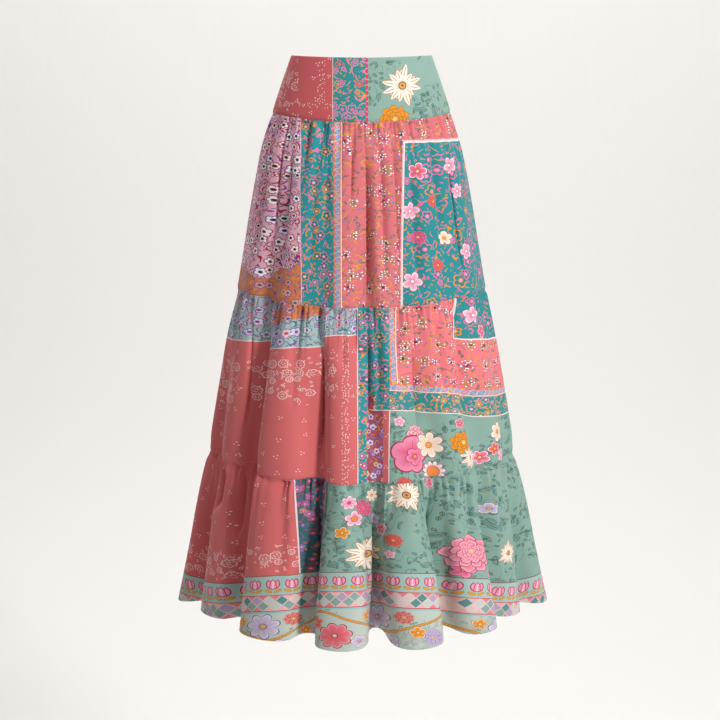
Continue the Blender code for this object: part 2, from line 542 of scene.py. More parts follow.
def bead_rows(place, share):
    """Tiny dots, set close together. share is how many of them are printed."""
    x, y, lot, _, _ = scattered(place, 0.0042, 0.9)
    return (distance(x, y) < 0.0009) * (lot < share)


def posy_band():
    """A loose band of outlined flowers and loops, drawn in one ink on the ground."""
    group, given = start_print("outlined posies", middle=0.0, depth=0.02)
    place = given["Place"]
    _, down = across_and_down(place)
    from_middle = abs(down - Reading(given["Middle"])) / Reading(given["Depth"])
    # Outlined flowers with scalloped edges and a ring inside
    x, y, lot, size_lot, turn_lot = scattered(place, 0.0195, 0.75)
    angle, far = polar(x, y)
    angle = angle + turn_lot * WHOLE_TURN
    scallop = abs(sine(angle * 4.0))
    reach = (0.0046 + size_lot * 0.0036) * (0.82 + 0.18 * scallop)
    edge = abs(far - reach) < 0.00050
    heart = (abs(far - reach * 0.36) < 0.00042) * (sine(angle * 2.0) > -0.5)
    spoke = (scallop < 0.13) * span(far / reach, 0.55, 1.0)
    flower = (edge | heart | spoke) * ((from_middle + lot * 0.50) < 0.95) * (lot < 0.78)
    # Small loops and seeds between them
    x, y, lot, size_lot, turn_lot = scattered(moved(place, 0.31, 0.17), 0.0088, 1.0)
    along, beside = turned(x, y, turn_lot)
    loop = oval(along, beside, 0.00228, 0.00148)
    seed = span(loop, 0.40, 1.0) * (lot > 0.45)
    seed = seed * ((from_middle + size_lot * 0.6) < 1.15)
    return end_print(group, mask=flower | seed * (far > reach + 0.0009))


outlined_posies = posy_band()


def curled(place, size, thickness, start, fullness=0.5):
    """Curling strokes: where a soft random reading crosses a level, broken into lengths."""
    swirl = wavering(moved(place, start, start * 0.7), size)
    gaps = wavering(moved(place, start * 1.3, 0.4), size * 0.55)
    return (abs(swirl - 0.5) < thickness) * (gaps > 0.56 - fullness * 0.12)


def small_flowers():
    """Closely set small flowers, buds and curls, outlined in three inks."""
    group, given = start_print(
        "small flowers",
        ground=ink("E8B4C0"),
        ink_1=ink("D8315A"),
        ink_2=ink("6A5AA8"),
        ink_3=ink("3D8C7A"),
        petals=ink("F6E6EA"),
        heart=ink("2F3B55"),
        size=0.012,
        fullness=0.5,
    )
    place = given["Place"]
    size = Reading(given["Size"])
    fullness = Reading(given["Fullness"])
    ink_1, ink_2, ink_3 = (given[f"Ink {number}"] for number in (1, 2, 3))
    colour = paint(given["Ground"], ink_2, curled(place, 0.0150, 0.040, 1.7, fullness))
    colour = paint(colour, ink_1, curled(place, 0.0165, 0.040, 4.1, fullness))
    # Buds and leaves between the flowers
    x, y, lot, size_lot, turn_lot = scattered(moved(place, 0.17, 0.23), 0.0092, 0.95)
    along, beside = turned(x, y, turn_lot)
    far = oval(along, beside, 0.0020 + size_lot * 0.0016, 0.0014)
    leaf_ink = paint(ink_3, ink_2, lot > 0.36)
    leaf_ink = paint(leaf_ink, ink_1, lot > 0.70)
    there = size_lot < fullness * 0.6 + 0.25
    colour = paint(colour, leaf_ink, (far < 1.0) * ((far > 0.34) | (size_lot > 0.45)) * there)
    # Flowers of rounded, uneven petals, outlined, with a dark eye
    x, y, lot, size_lot, turn_lot = scattered(place, size, 0.9)
    angle, far = polar(x, y)
    angle = angle + turn_lot * WHOLE_TURN
    lobe = abs(cosine(angle * 2.5)) ** 0.7
    reach = size * (0.24 + size_lot * 0.29) * (0.64 + 0.36 * lobe)
    line = size * 0.090
    flower_ink = paint(ink_1, ink_2, lot > 0.66)
    flower_ink = paint(flower_ink, ink_3, lot > 0.88)
    there = turn_lot < fullness * 0.6 + 0.42
    colour = paint(colour, given["Ground"], (far < reach + line) * there)
    colour = paint(colour, flower_ink, (far < reach) * there)
    colour = paint(colour, given["Petals"], (far < reach - line) * there)
    eye = there * (reach > size * 0.25)
    ray = (abs(sine(angle * 2.5)) > 0.985) * (far > size * 0.20)
    colour = paint(colour, flower_ink, ray * (far < reach - line * 2.2) * there)
    colour = paint(colour, flower_ink, (far < size * 0.150) * eye)
    colour = paint(colour, given["Heart"], (far < size * 0.095) * eye)
    return end_print(group, colour=colour)


small_flower_print = small_flowers()


def sage_garden():
    """Sage cloth with leaves and twigs drawn in a dark sage, and mustard flecks."""
    group, given = start_print(
        "sage leaves", ground=ink("90B3A8"), line=ink("2C5A56"), fleck=ink("D9A13C"), fullness=1.0
    )
    place = given["Place"]
    line = given["Line"]
    fullness = Reading(given["Fullness"])
    soft = wavering(place, 0.05, 1.0)
    colour = paint(given["Ground"], line, soft * 0.16)
    thickets = wavering(moved(place, 7.3, 2.9), 0.085) + fullness * 0.16
    # Twigs, broken, with small leaves on them
    curl = wavering(moved(place, 3.1, 1.7), 0.040, 1.0)
    twig = (abs(curl - 0.47) < 0.0040) | (abs(curl - 0.60) < 0.0034)
    colour = paint(colour, line, twig * (thickets > 0.58) * 0.75)
    for spacing, longest, shift in ((0.0185, 0.0104, 0.9), (0.0110, 0.0050, 2.3)):
        x, y, lot, size_lot, turn_lot = scattered(moved(place, shift, 0.2), spacing, 0.95)
        along, beside = turned(x, y, turn_lot)
        length = longest * (0.65 + size_lot * 0.45)
        bend = along * along * 18.0
        beside = abs(beside - bend)
        part = along / length
        half = length * 0.50 * (1.0 - part * part)
        leaf = (beside < half) * (lot < 0.60) * (thickets > 0.51 + lot * 0.22)
        edge = (beside > half - 0.00060) | (beside < 0.00034)
        vein = ((along - beside * 0.9) % 0.0026) < 0.00045
        colour = paint(colour, line, leaf * 0.16)
        colour = paint(colour, line, leaf * (edge | vein) * 0.88)
    x, y, lot, size_lot, turn_lot = scattered(moved(place, 0.5, 0.5), 0.0095, 1.0)
    along, beside = turned(x, y, turn_lot)
    mark = (abs(along) < 0.0014) * (abs(beside) < 0.00042) * (lot > 0.55)
    colour = paint(colour, given["Fleck"], mark * fullness)
    return end_print(group, colour=colour)


sage_leaves = sage_garden()


def from_heart(given):
    """A motif's angle, and its distance from its heart as a share of its radius."""
    x, y = across_and_down(given["Place"])
    x = (x - Reading(given["Across"])) / Reading(given["Radius"])
    y = (y - Reading(given["Down"])) / Reading(given["Radius"])
    angle, far = polar(x, y)
    return angle + Reading(given["Turn"]), far


def daisy_motif():
    """A large daisy: pointed cream petals with orange strokes round an orange heart."""
    group, given = start_print(
        "daisy", across=0.0, down=0.0, radius=0.03, turn=0.0, petals=ink("FBF0E4")
    )
    angle, far = from_heart(given)
    colour = given["Petals"]
    flower = None
    for petals, start, longest, half in ((12.0, 0.66, 0.76, 0.11), (12.0, 0.4, 1.0, 0.145)):
        wedge = 2.0 * math.pi / petals
        turn = angle + start
        beside = abs(turn % wedge - 0.5 * wedge) * far
        number = worked("FLOOR", turn / wedge)
        length = longest * (0.84 + 0.16 * sine(number * 2.4 + start))
        part = worked("MINIMUM", far / length, 1.0)
        width = half * sine(part ** 1.15 * math.pi) ** 0.75
        petal = beside < width
        flower = petal if flower is None else flower | petal
        colour = paint(colour, given["Petals"], petal)
        rim = petal * (beside > width - 0.022)
        colour = paint(colour, ink("C9813C"), rim)
        stroke = petal * (beside < 0.016) * span(part, 0.42, 0.86)
        colour = paint(colour, ink("D9853A"), stroke)
        colour = paint(colour, ink("F0D2AC"), petal * (part < 0.34) * 0.6)
    flower = flower | (far < 0.2)
    colour = paint(colour, ink("3F4F58"), far < 0.185)
    colour = paint(colour, ink("EBA24C"), far < 0.145)
    colour = paint(colour, ink("8E4C6E"), far < 0.055)
    return end_print(group, colour=colour, mask=flower)


daisy = daisy_motif()


def rosette_motif():
    """A full-blown flower of several rings of scalloped petals, each ring outlined."""
    group, given = start_print(
        "rosette",
        across=0.0,
        down=0.0,
        radius=0.03,
        turn=0.0,
        petals=ink("F08CA0"),
        shade=ink("D9476E"),
        line=ink("8E2F4E"),
        heart=ink("F2C48A"),
    )
    angle, far = from_heart(given)
    colour = given["Petals"]
    flower = None
    rings = ((1.0, 4.5, 0.0), (0.76, 4.0, 0.8), (0.54, 3.0, 1.9), (0.33, 2.5, 0.4))
    for size, lobes, start in rings:
        scallop = abs(cosine(angle * lobes + start + 0.5 * sine(angle + start * 3.0)))
        frill = 0.022 * sine(angle * 17.0 + start * 5.0) + 0.045 * sine(angle * 2.0 + start)
        reach = size * (0.78 + frill + 0.20 * scallop)
        inside = far < reach
        if flower is None:
            flower = inside
        rim = (far - (reach - 0.20)) * 5.0
        rim = worked("MAXIMUM", worked("MINIMUM", rim, 1.0), 0.0)
        tint = paint(given["Shade"], given["Petals"], rim)
        colour = paint(colour, tint, inside)
        colour = paint(colour, given["Line"], span(reach - far, 0.0, 0.035))
        groove = (scallop < 0.16) * span(reach - far, 0.0, 0.2)
        streak = (abs(sine(angle * 19.0)) * far < 0.10) * span(reach - far, 0.06, 0.15)
        colour = paint(colour, given["Shade"], streak * 0.7)
        colour = paint(colour, given["Line"], groove)
    colour = paint(colour, given["Heart"], far < 0.15)
    return end_print(group, colour=colour, mask=flower)


rosette = rosette_motif()


def set_motifs(colour, place, motifs):
    """Prints motifs one over another. Rows: motif, across, down, radius, turn, inks."""
    for motif, across, down, radius, turn, inks in motifs:
        node = stamp(motif, place, across=across, down=down, radius=radius, turn=turn, **inks)
        colour = paint(colour, node.outputs["Colour"], Reading(node.outputs["Mask"]))
    return colour


def blossom_inks(codes):
    """The inks of one large flower."""
    return dict(zip(("petals", "shade", "line", "heart"), map(ink, codes.split())))


def flower_inks(codes, size, fullness):
    """The inks of one block of small flowers, their spacing, and how many there are."""
    titles = ("ground", "ink_1", "ink_2", "ink_3", "petals", "heart")
    return dict(zip(titles, map(ink, codes.split())), size=size, fullness=fullness)


MUSTARD = blossom_inks("F2A02A E58A18 8E6A2E F6D08A")
YOKE_TEAL = flower_inks("2B8E92 F27FB4 F2A020 F0605A 2B8E92 E86AA4", 0.0175, 0.4)


def posies(place, middle, depth):
    """Where a band of outlined posies is printed, round its middle depth."""
    return Reading(stamp(outlined_posies, place, middle=middle, depth=depth).outputs["Mask"])


def yoke_layout(place):
    """The blocks of the yoke: plain coral, a flowered teal strip, and a sage garden."""
    strip_edge, garden_edge = -0.0479, 0.0109
    x, y = across_and_down(place)
    coral = colour_of(coral_sprigs, place, ground=ink("CD5A5E"))
    beading = span(x, -0.0745, -0.0615) * span(y, 0.004, 0.085) | span(y, 0.076, 0.084)
    beading = bead_rows(place, 0.65) * beading * (x > -0.125)
    coral = paint(coral, ink("F2DAD6"), beading | posies(place, 0.055, 0.045) * (x < -0.108))
    teal = colour_of(small_flower_print, place, **YOKE_TEAL)
    colour = paint(coral, teal, x > strip_edge)
    colour = paint(colour, ink("F0C8C6"), span(x, strip_edge - 0.0012, strip_edge))
    dashes = paint(ink("F2A9BC"), ink("DE2F5C"), (y % 0.009) < 0.0074)
    colour = paint(colour, dashes, x > garden_edge - 0.0033)
    garden = set_motifs(colour_of(sage_leaves, place), place, (
        (rosette, 0.0564, 0.1030, 0.0260, 0.4, dict(MUSTARD, line=ink("9A6A28"))),
        (daisy, 0.0690, 0.0465, 0.0370, 0.2, {}),
    ))
    return paint(colour, garden, x > garden_edge)


# The waist edge is turned in, round a fold of this half circle.
FOLD_OVER = ((0.0, 0.0020), (-0.0007, 0.0017), (-0.0010, 0.0010), (-0.0007, 0.0003))
WAIST_TURNING = [
    (WAIST + depth, inside, fitted)
    for depth, inside in ((0.0150, 0.0021), (0.0075, 0.0021), *FOLD_OVER)
]
yoke_print = printed("yoke_print", (0.56, 0.42, 0.40, 1.0), yoke_layout)
for half, centre in HALVES:
    panel = drape_panel(
        f"yoke_{half}_cloth", centre, (WAIST, YOKE_SEAM), (180, 32), fitted, (yoke_print,),
        before=WAIST_TURNING,
    )
    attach(panel, "root")
    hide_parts(f"yoke_{half}")


# Tier 1. The upper tier, a wide strip of the same cotton for the front and one for the back.
# Its upper edge is drawn up in small gathers and sewn under the yoke.
TIER_1_SEAM = 0.405
TIER_2_SEAM = 0.697
TIER_1_GATHERS = 30
TIER_1_GATHER_HEIGHT = 0.0042
# Below its seam a gather has swelled out after GATHER_SWELL and run out after GATHER_REACH.
# GATHER_DEPTH is how far it sinks as a share of its height. The rest makes gathers uneven:
# shifts of their waves, the lowest share of their height, and how many places have low ones.
GATHER_SWELL = 0.009
GATHER_REACH = 0.075
GATHER_DEPTH = 0.4
GATHER_SHIFTS = ((1.1, 3.0, 0.0), (0.7, 5.0, 1.0))
LOWEST_GATHER = 0.36
LOW_PLACES = 7.0
FLAT_AT_SIDE_SEAM = 5.0
FOLDS = (  # angle and inset at the tier 1 seam, at the tier 2 seam, and at the hem
    (-88, 0.000, -88, 0.000, -88, 0.000),
    (-77, 0.004, -80, 0.022, -81, 0.058),
    (-67, 0.002, -69, 0.012, -68, 0.030),
    (-51, 0.020, -50, 0.050, -50, 0.078),
    (-36, 0.003, -34, 0.000, -33, 0.012),
    (-20, 0.010, -17, 0.034, -19, 0.070),
    (-10, 0.002, -7, 0.000, -6, -0.001),
    (2, 0.015, 4, 0.020, 6, 0.106),
    (9, 0.003, 15, 0.002, 17, -0.003),
    (18, 0.010, 28, 0.024, 32, 0.088),
    (32, 0.002, 40, 0.002, 43, 0.016),
    (48, 0.010, 52, 0.022, 55, 0.062),
    (62, 0.002, 65, 0.004, 67, 0.032),
    (75, 0.005, 77, 0.018, 78, 0.058),
    (88, 0.000, 88, 0.000, 88, -0.004),
    (99, 0.010, 100, 0.030, 100, 0.072),
    (110, 0.000, 110, 0.004, 109, 0.006),
    (124, 0.014, 123, 0.040, 121, 0.090),
    (136, 0.002, 135, 0.002, 134, 0.004),
    (149, 0.008, 148, 0.026, 147, 0.070),
    (160, 0.002, 160, 0.000, 159, 0.008),
    (172, 0.014, 171, 0.038, 171, 0.100),
    (184, 0.000, 184, 0.002, 184, 0.000),
    (196, 0.010, 197, 0.030, 198, 0.078),
    (208, 0.002, 209, 0.002, 210, 0.010),
    (221, 0.012, 222, 0.036, 222, 0.088),
    (234, 0.000, 235, 0.000, 235, 0.002),
    (247, 0.008, 248, 0.024, 248, 0.066),
    (260, 0.003, 260, 0.004, 260, 0.010),
    (266, 0.006, 266, 0.012, 266, 0.030),
)
# How far a fold's flank bulges and leans over, as shares of its width, and the height of a
# flank that does both in full.
FLANK_ROUNDING = 0.20
FLANK_OVERHANG = 0.13
STEEP_FLANK = 0.06
TIER_1_CREASES = (  # angle, upper and lower depth, half width in degrees, inset, overhang
    (-66, 0.10, 0.38, 3.4, 0.009, 0),
    (-54, 0.10, 0.34, 2.4, 0.008, 1),
    (-44, 0.10, 0.42, 3.0, 0.010, 1),
    (-33, 0.10, 0.19, 1.8, 0.004, 0),
    (-26, 0.11, 0.40, 2.4, 0.003, 0),
    (-19, 0.11, 0.30, 2.0, 0.004, 0),
    (-6, 0.10, 0.25, 1.6, 0.007, 1),
    (2.0, 0.10, 0.44, 2.9, 0.014, 1),
    (11, 0.10, 0.40, 2.4, 0.011, 0),
    (18, 0.10, 0.36, 2.2, 0.006, 1),
    (28, 0.12, 0.42, 2.8, 0.009, 0),
    (45, 0.10, 0.34, 2.6, 0.009, 0),
    (59, 0.12, 0.42, 3.0, 0.009, -1),
    (101, 0.10, 0.30, 2.5, 0.007, 1),
    (124, 0.10, 0.42, 3.0, 0.011, -1),
    (141, 0.10, 0.24, 2.0, 0.006, 0),
    (158, 0.11, 0.36, 2.4, 0.007, 1),
    (173, 0.10, 0.42, 2.4, 0.012, 1),
    (189, 0.10, 0.22, 1.8, 0.006, 0),
    (203, 0.12, 0.40, 2.8, 0.007, -1),
    (221, 0.10, 0.42, 2.6, 0.011, 1),
    (238, 0.10, 0.27, 2.0, 0.006, 0),
    (252, 0.13, 0.40, 3.0, 0.007, 0),
)
# How far the shoulder of a crease leans over it, as a share of the crease's half width.
OVERLAP = 0.95


def folds_at(depth):
    """The angles and insets of all crests and valleys at a depth."""
    table = np.array(FOLDS, dtype=float)
    if depth <= TIER_1_SEAM:
        return table[:, 0], table[:, 1] * eased((depth - YOKE_SEAM) / (TIER_1_SEAM - YOKE_SEAM))
    if depth <= TIER_2_SEAM:
        share = eased((depth - TIER_1_SEAM) / (TIER_2_SEAM - TIER_1_SEAM))
        angles = table[:, 0] + (table[:, 2] - table[:, 0]) * share
        return angles, table[:, 1] + (table[:, 3] - table[:, 1]) * share
    share = (depth - TIER_2_SEAM) / (HEM - TIER_2_SEAM)
    angles = table[:, 2] + (table[:, 4] - table[:, 2]) * eased(share)
    return angles, table[:, 3] + (table[:, 5] - table[:, 3]) * share


def hanging(angles, depth):
    """The inset and the sideways lean of the hanging folds, for angles in degrees."""
    fold_angles, insets = folds_at(depth)
    first = fold_angles[0]
    turns = (angles - first) % 360.0 + first
    here = np.searchsorted(fold_angles, turns, side="right") - 1
    after = (here + 1) % len(fold_angles)
    next_angles = fold_angles[after] + np.where(after == 0, 360.0, 0.0)
    width = next_angles - fold_angles[here]
    share = (turns - fold_angles[here]) / width
    rise = 0.5 - 0.5 * np.cos(math.pi * share)
    change = insets[after] - insets[here]
    steepness = eased(np.abs(change) / STEEP_FLANK)
    rounding = FLANK_ROUNDING * np.sin(math.pi * share) * np.where(change > 0.0, 1.0, -1.0)
    overhang = FLANK_OVERHANG * np.sin(2.0 * math.pi * share)
    return insets[here] + change * rise, width * steepness * (rounding + overhang)


def gathering(angles, below, gathers, height):
    """How far the cloth swells or sinks below a gathered seam."""
    turns = np.radians(angles)
    from_side_seam = np.abs((angles % 180.0) - 90.0)
    phase = gathers * turns
    for shift, count, start in GATHER_SHIFTS:
        phase = phase + shift * np.sin(count * turns + start)
    fullness = 0.5 + 0.5 * np.sin(LOW_PLACES * turns + gathers)
    full = LOWEST_GATHER + (1.0 - LOWEST_GATHER) * fullness
    wave = full * np.sin(phase) * eased(from_side_seam / FLAT_AT_SIDE_SEAM)
    running_out = math.exp(-((below / GATHER_REACH) ** 2))
    return height * eased(below / GATHER_SWELL) * running_out * (wave - GATHER_DEPTH)


def small_pleats(seed, count, width, length, depth):
    """Uneven little pleats that the gathering thread draws in, as rows of their sizes.

    Columns: angle, half width in degrees, how far down it runs, inset.
    """
    lots = random.Random(seed)
    step = 360.0 / count
    return np.array([
        (
            step * (index + lots.uniform(-0.38, 0.38)) - 90.0,
            width * lots.uniform(0.7, 1.4),
            length * lots.uniform(0.35, 1.0) ** 1.5,
            depth * lots.uniform(0.45, 1.0),
        )
        for index in range(count)
    ])


def pleating(angles, below, pleats):
    """The inset that the small pleats give the cloth just below its seam."""
    gap = (angles[:, None] - pleats[None, :, 0] + 180.0) % 360.0 - 180.0
    trough = np.exp(-(np.abs(gap / pleats[None, :, 1]) ** 1.4))
    running_out = np.exp(-((below / pleats[:, 2]) ** 2)) * eased(below / 0.005)
    return (trough * pleats[None, :, 3] * running_out[None, :]).sum(axis=1)


def creasing(angles, depth, creases):
    """The inset of creases that are placed one by one, and the lean of their shoulders."""
    inset = np.zeros_like(angles)
    lean = np.zeros_like(angles)
    for angle, top, bottom, width, deep, side in creases:
        run = 0.35 * (bottom - top)
        window = float(eased((depth - top) / run) * eased((bottom - depth) / run))
        gap = ((angles - angle + 180.0) % 360.0 - 180.0) / width
        inset = inset + deep * window * np.exp(-(np.abs(gap) ** 1.6))
        if side:
            shoulder = np.exp(-(((gap + 0.9 * side) / 0.7) ** 2))
            lean = lean + side * OVERLAP * width * window * shoulder
    return inset, lean


def gathered(upper, gathers, height, pleats, creases):
    """The form of a gathered tier, as a shape for its rows."""

    def shape(angles, depth):
        inset, lean = hanging(angles, depth)
        below = max(depth - upper, 0.0)
        inset = inset - gathering(angles, below, gathers, height)
        creased, shoulders = creasing(angles, depth, creases)
        inset = inset + pleating(angles, below, pleats) + creased
        return inset, lean + shoulders

    return shape


def seam_allowance(seam, shape):
    """The rows of a gathered edge that stand up inside the cloth above its seam."""
    heights_and_insides = ((0.0105, 0.0034), (0.0060, 0.0028), (0.0015, 0.0016))
    return [(seam - above, inside, shape) for above, inside in heights_and_insides]


def bead_flowers():
    """Clusters of white beads on salmon, with mustard curls and grey-green leaves."""
    group, given = start_print("beaded flowers", ground=ink("EE7C84"))
    place = given["Place"]
    colour = given["Ground"]
    colour = paint(colour, ink("8C6E5E"), curled(place, 0.022, 0.020, 2.2) * 0.8)
    colour = paint(colour, ink("E0A030"), curled(place, 0.019, 0.034, 5.6))
    # Leaves
    x, y, lot, size_lot, turn_lot = scattered(moved(place, 0.3, 0.9), 0.0118, 0.95)
    along, beside = turned(x, y, turn_lot)
    far = oval(along, beside, 0.0024 + size_lot * 0.0026, 0.0017)
    leaf_ink = paint(ink("8A7468"), ink("5A7078"), lot > 0.40)
    leaf_ink = paint(leaf_ink, ink("4E86B8"), lot > 0.80)
    colour = paint(colour, leaf_ink, (far < 1.0) * (size_lot > 0.35))
    colour = paint(colour, given["Ground"], (far < 0.28) * (lot > 0.3))
    # Flowers: crimson or mustard petals under a cluster of beads
    x, y, lot, size_lot, turn_lot = scattered(place, 0.0310, 0.55)
    angle, far = polar(x, y)
    reach = 0.0082 + size_lot * 0.0040 + 0.0018 * sine(angle * 3.0 + turn_lot * WHOLE_TURN)
    near = (far < reach) * (lot > 0.08)
    petal = abs(cosine(angle * 2.5 + turn_lot * 3.0)) * reach * 0.8
    petal_ink = paint(ink("D84A70"), ink("B88A34"), lot > 0.50)
    colour = paint(colour, petal_ink, (far < petal) * near * 0.85)
    colour = paint(colour, ink("3E3A38"), (far < 0.0024) * near)
    x, y, lot, size_lot, turn_lot = scattered(moved(place, 0.6, 0.1), 0.0047, 0.75)
    bead = distance(x, y)
    shown = near * (lot > 0.25)
    rim = paint(ink("B03A6A"), ink("4E4668"), turn_lot > 0.55)
    colour = paint(colour, rim, (bead < 0.00185) * shown * 0.85)
    colour = paint(colour, ink("FFFAF8"), (bead < 0.00125) * shown)
    return end_print(group, colour=colour)


beaded_flowers = bead_flowers()


def leaf_trim():
    """A narrow printed trim: pale leaves on lilac between two coral and mustard edges."""
    group, given = start_print("leaf trim", middle=0.0, half=0.006)
    x, y = across_and_down(given["Place"])
    side = (x - Reading(given["Middle"])) / Reading(given["Half"])
    step = y % 0.0100 - 0.0050
    lean = side * 0.0030
    leaf = oval(side, step + lean, 0.6, 0.003536)
    lot = sine(worked("FLOOR", y / 0.0100) * 2.4)
    leaf_ink = paint(ink("7FB2D6"), ink("B7A2D4"), lot > 0.2)
    leaf_ink = paint(leaf_ink, ink("E9A2B8"), lot > 0.75)
    leaf_ink = paint(leaf_ink, ink("E6B070"), lot < -0.85)
    colour = paint(ink("CBB8C8"), leaf_ink, leaf < 1.0)
    colour = paint(colour, ink("566A90"), span(leaf, 0.66, 1.0))
    edge = abs(side) > 0.66
    spots = ((y + lean) % 0.0125) < 0.0045
    edge_ink = paint(ink("E8665E"), ink("E8A23A"), spots)
    return end_print(group, colour=paint(colour, edge_ink, edge))


trim_print = leaf_trim()


def blossom_motif():
    """An open blossom: rounded, streaked petals with an outline and a bright heart."""
    group, given = start_print(
        "blossom",
        across=0.0,
        down=0.0,
        radius=0.02,
        turn=0.0,
        count=5.0,
        notch=0.55,
        middle=0.17,
        petals=ink("F4B6CE"),
        shade=ink("E878A4"),
        line=ink("7C3A5C"),
        heart=ink("F4D25A"),
        rim=ink("FFF2F4"),
    )
    angle, far = from_heart(given)
    count = Reading(given["Count"])
    notch = Reading(given["Notch"])
    middle = Reading(given["Middle"])
    half_turn = angle * count * 0.5
    lobe = abs(cosine(half_turn)) ** 0.5
    reach = 1.0 - notch + notch * lobe
    flower = far < reach
    deep = 1.0 - far / reach
    colour = paint(given["Petals"], given["Shade"], deep * 1.1)
    streak = (abs(sine(half_turn)) * far < 0.035) * span(far, 0.2, 0.7)
    side_streaks = (abs(cosine(half_turn * 3.0)) * far < 0.05) * span(far / reach, 0.3, 0.62)
    colour = paint(colour, given["Shade"], streak | side_streaks)
    colour = paint(colour, given["Rim"], span(reach - far, 0.07, 0.15))
    colour = paint(colour, given["Line"], span(reach - far, 0.0, 0.07))
    colour = paint(colour, given["Line"], far < middle + 0.06)
    colour = paint(colour, given["Heart"], far < middle)
    return end_print(group, colour=colour, mask=flower)


blossom = blossom_motif()


PINK = blossom_inks("F8CCDC EC7FAC B8487E FFF2E6")
CORAL = blossom_inks("F07C6A E0524E A83E4E F2C060")
CREAM = blossom_inks("FAEBDA EFC9A8 B0784E EBA24C")
ROSE = blossom_inks("F28CA6 DA4A76 8E2F4E F2C48A")
PALE_PINK = flower_inks("EFB4C8 A60E3A 7C3A90 2C4A60 FFFAFC 18203A", 0.0178, 0.95)
PEACH = flower_inks("D67C54 8258A8 E09A30 3A74B4 ECA888 2C5C94", 0.0160, 0.7)
TEAL_STRIP = flower_inks("22969E F078AE F29A22 E8484A 22787F FFD0E0", 0.0185, 0.32)
TEAL = flower_inks("208E95 E86AA2 E8901E DE4A48 2A858C F2A0C0", 0.0260, 0.0)


def flower_blocks(place, inks, *blocks):
    """Small flowers all over the cloth, whose inks change where a block starts."""
    inks = dict(inks)
    for where, block_inks in blocks:
        for title, value in block_inks.items():
            if title in ("size", "fullness"):
                inks[title] = inks[title] + (value - inks[title]) * where
            else:
                inks[title] = paint(inks[title], value, where)
    return colour_of(small_flower_print, place, **inks)


def tier_1_layout(place):
    """The blocks of tier 1, from a pale flowered block to a teal one with blossoms."""
    strip_edge, trim_middle, salmon_edge = -0.1045, -0.0413, -0.0350
    x, y = across_and_down(place)
    peach_top = 0.3675 + (wavering(place, 0.03) - 0.5) * 0.05
    flowers = flower_blocks(
        place, PALE_PINK, (y > peach_top, PEACH), (x > strip_edge, TEAL_STRIP), (x > 0.0, TEAL)
    )
    colour = paint(flowers, ink("F0C2D0"), span(x, strip_edge - 0.0007, strip_edge + 0.0007))
    trim = colour_of(trim_print, place, middle=trim_middle, half=0.0062)
    colour = paint(colour, trim, x > trim_middle - 0.0065)
    salmon = colour_of(beaded_flowers, place, ground=ink("DE747C"))
    colour = paint(colour, salmon, x > salmon_edge)
    colour = paint(colour, ink("FBE4E6"), span(x, salmon_edge - 0.0002, salmon_edge + 0.0016))
    teal = set_motifs(flowers, place, (
        (blossom, 0.0850, 0.2660, 0.0165, 0.2, PINK),
        (blossom, 0.0890, 0.3920, 0.0185, 1.1, PINK),
        (blossom, 0.1760, 0.2300, 0.0140, 0.5, PINK),
        (blossom, 0.1560, 0.1860, 0.0160, 0.9, PINK),
        (rosette, 0.1240, 0.2480, 0.0120, 0.3, CORAL),
        (blossom, 0.0960, 0.1950, 0.0165, 0.1, ROSE),
        (rosette, 0.1330, 0.3610, 0.0115, 0.8, CORAL),
        (blossom, 0.1480, 0.3120, 0.0130, 0.4, CREAM),
        (rosette, 0.0990, 0.3130, 0.0125, 1.4, ROSE),
        (blossom, 0.1940, 0.3350, 0.0150, 0.7, PINK),
    ))
    # The teal block, with two pale lines along its left and upper edges
    for left, top, block in (
        (0.0690, 0.1400, ink("F7C4C8")),
        (0.0706, 0.1422, ink("FCE8E6")),
        (0.0728, 0.1452, teal),
    ):
        colour = paint(colour, block, (x > left) * (y > top))
    return colour


tier_1_print = printed("tier_1_print", (0.75, 0.32, 0.36, 1.0), tier_1_layout)
tier_1_form = gathered(
    YOKE_SEAM,
    TIER_1_GATHERS,
    TIER_1_GATHER_HEIGHT,
    small_pleats(11, 130, 0.68, 0.065, 0.0046),
    TIER_1_CREASES,
)
for half, centre in HALVES:
    panel = drape_panel(
        f"tier_1_{half}_cloth", centre, (YOKE_SEAM, TIER_1_SEAM), (400, 62), tier_1_form,
        (tier_1_print,), TIER_1_CREASES, before=seam_allowance(YOKE_SEAM, fitted),
    )
    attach(panel, "root")
    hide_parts(f"tier_1_{half}")


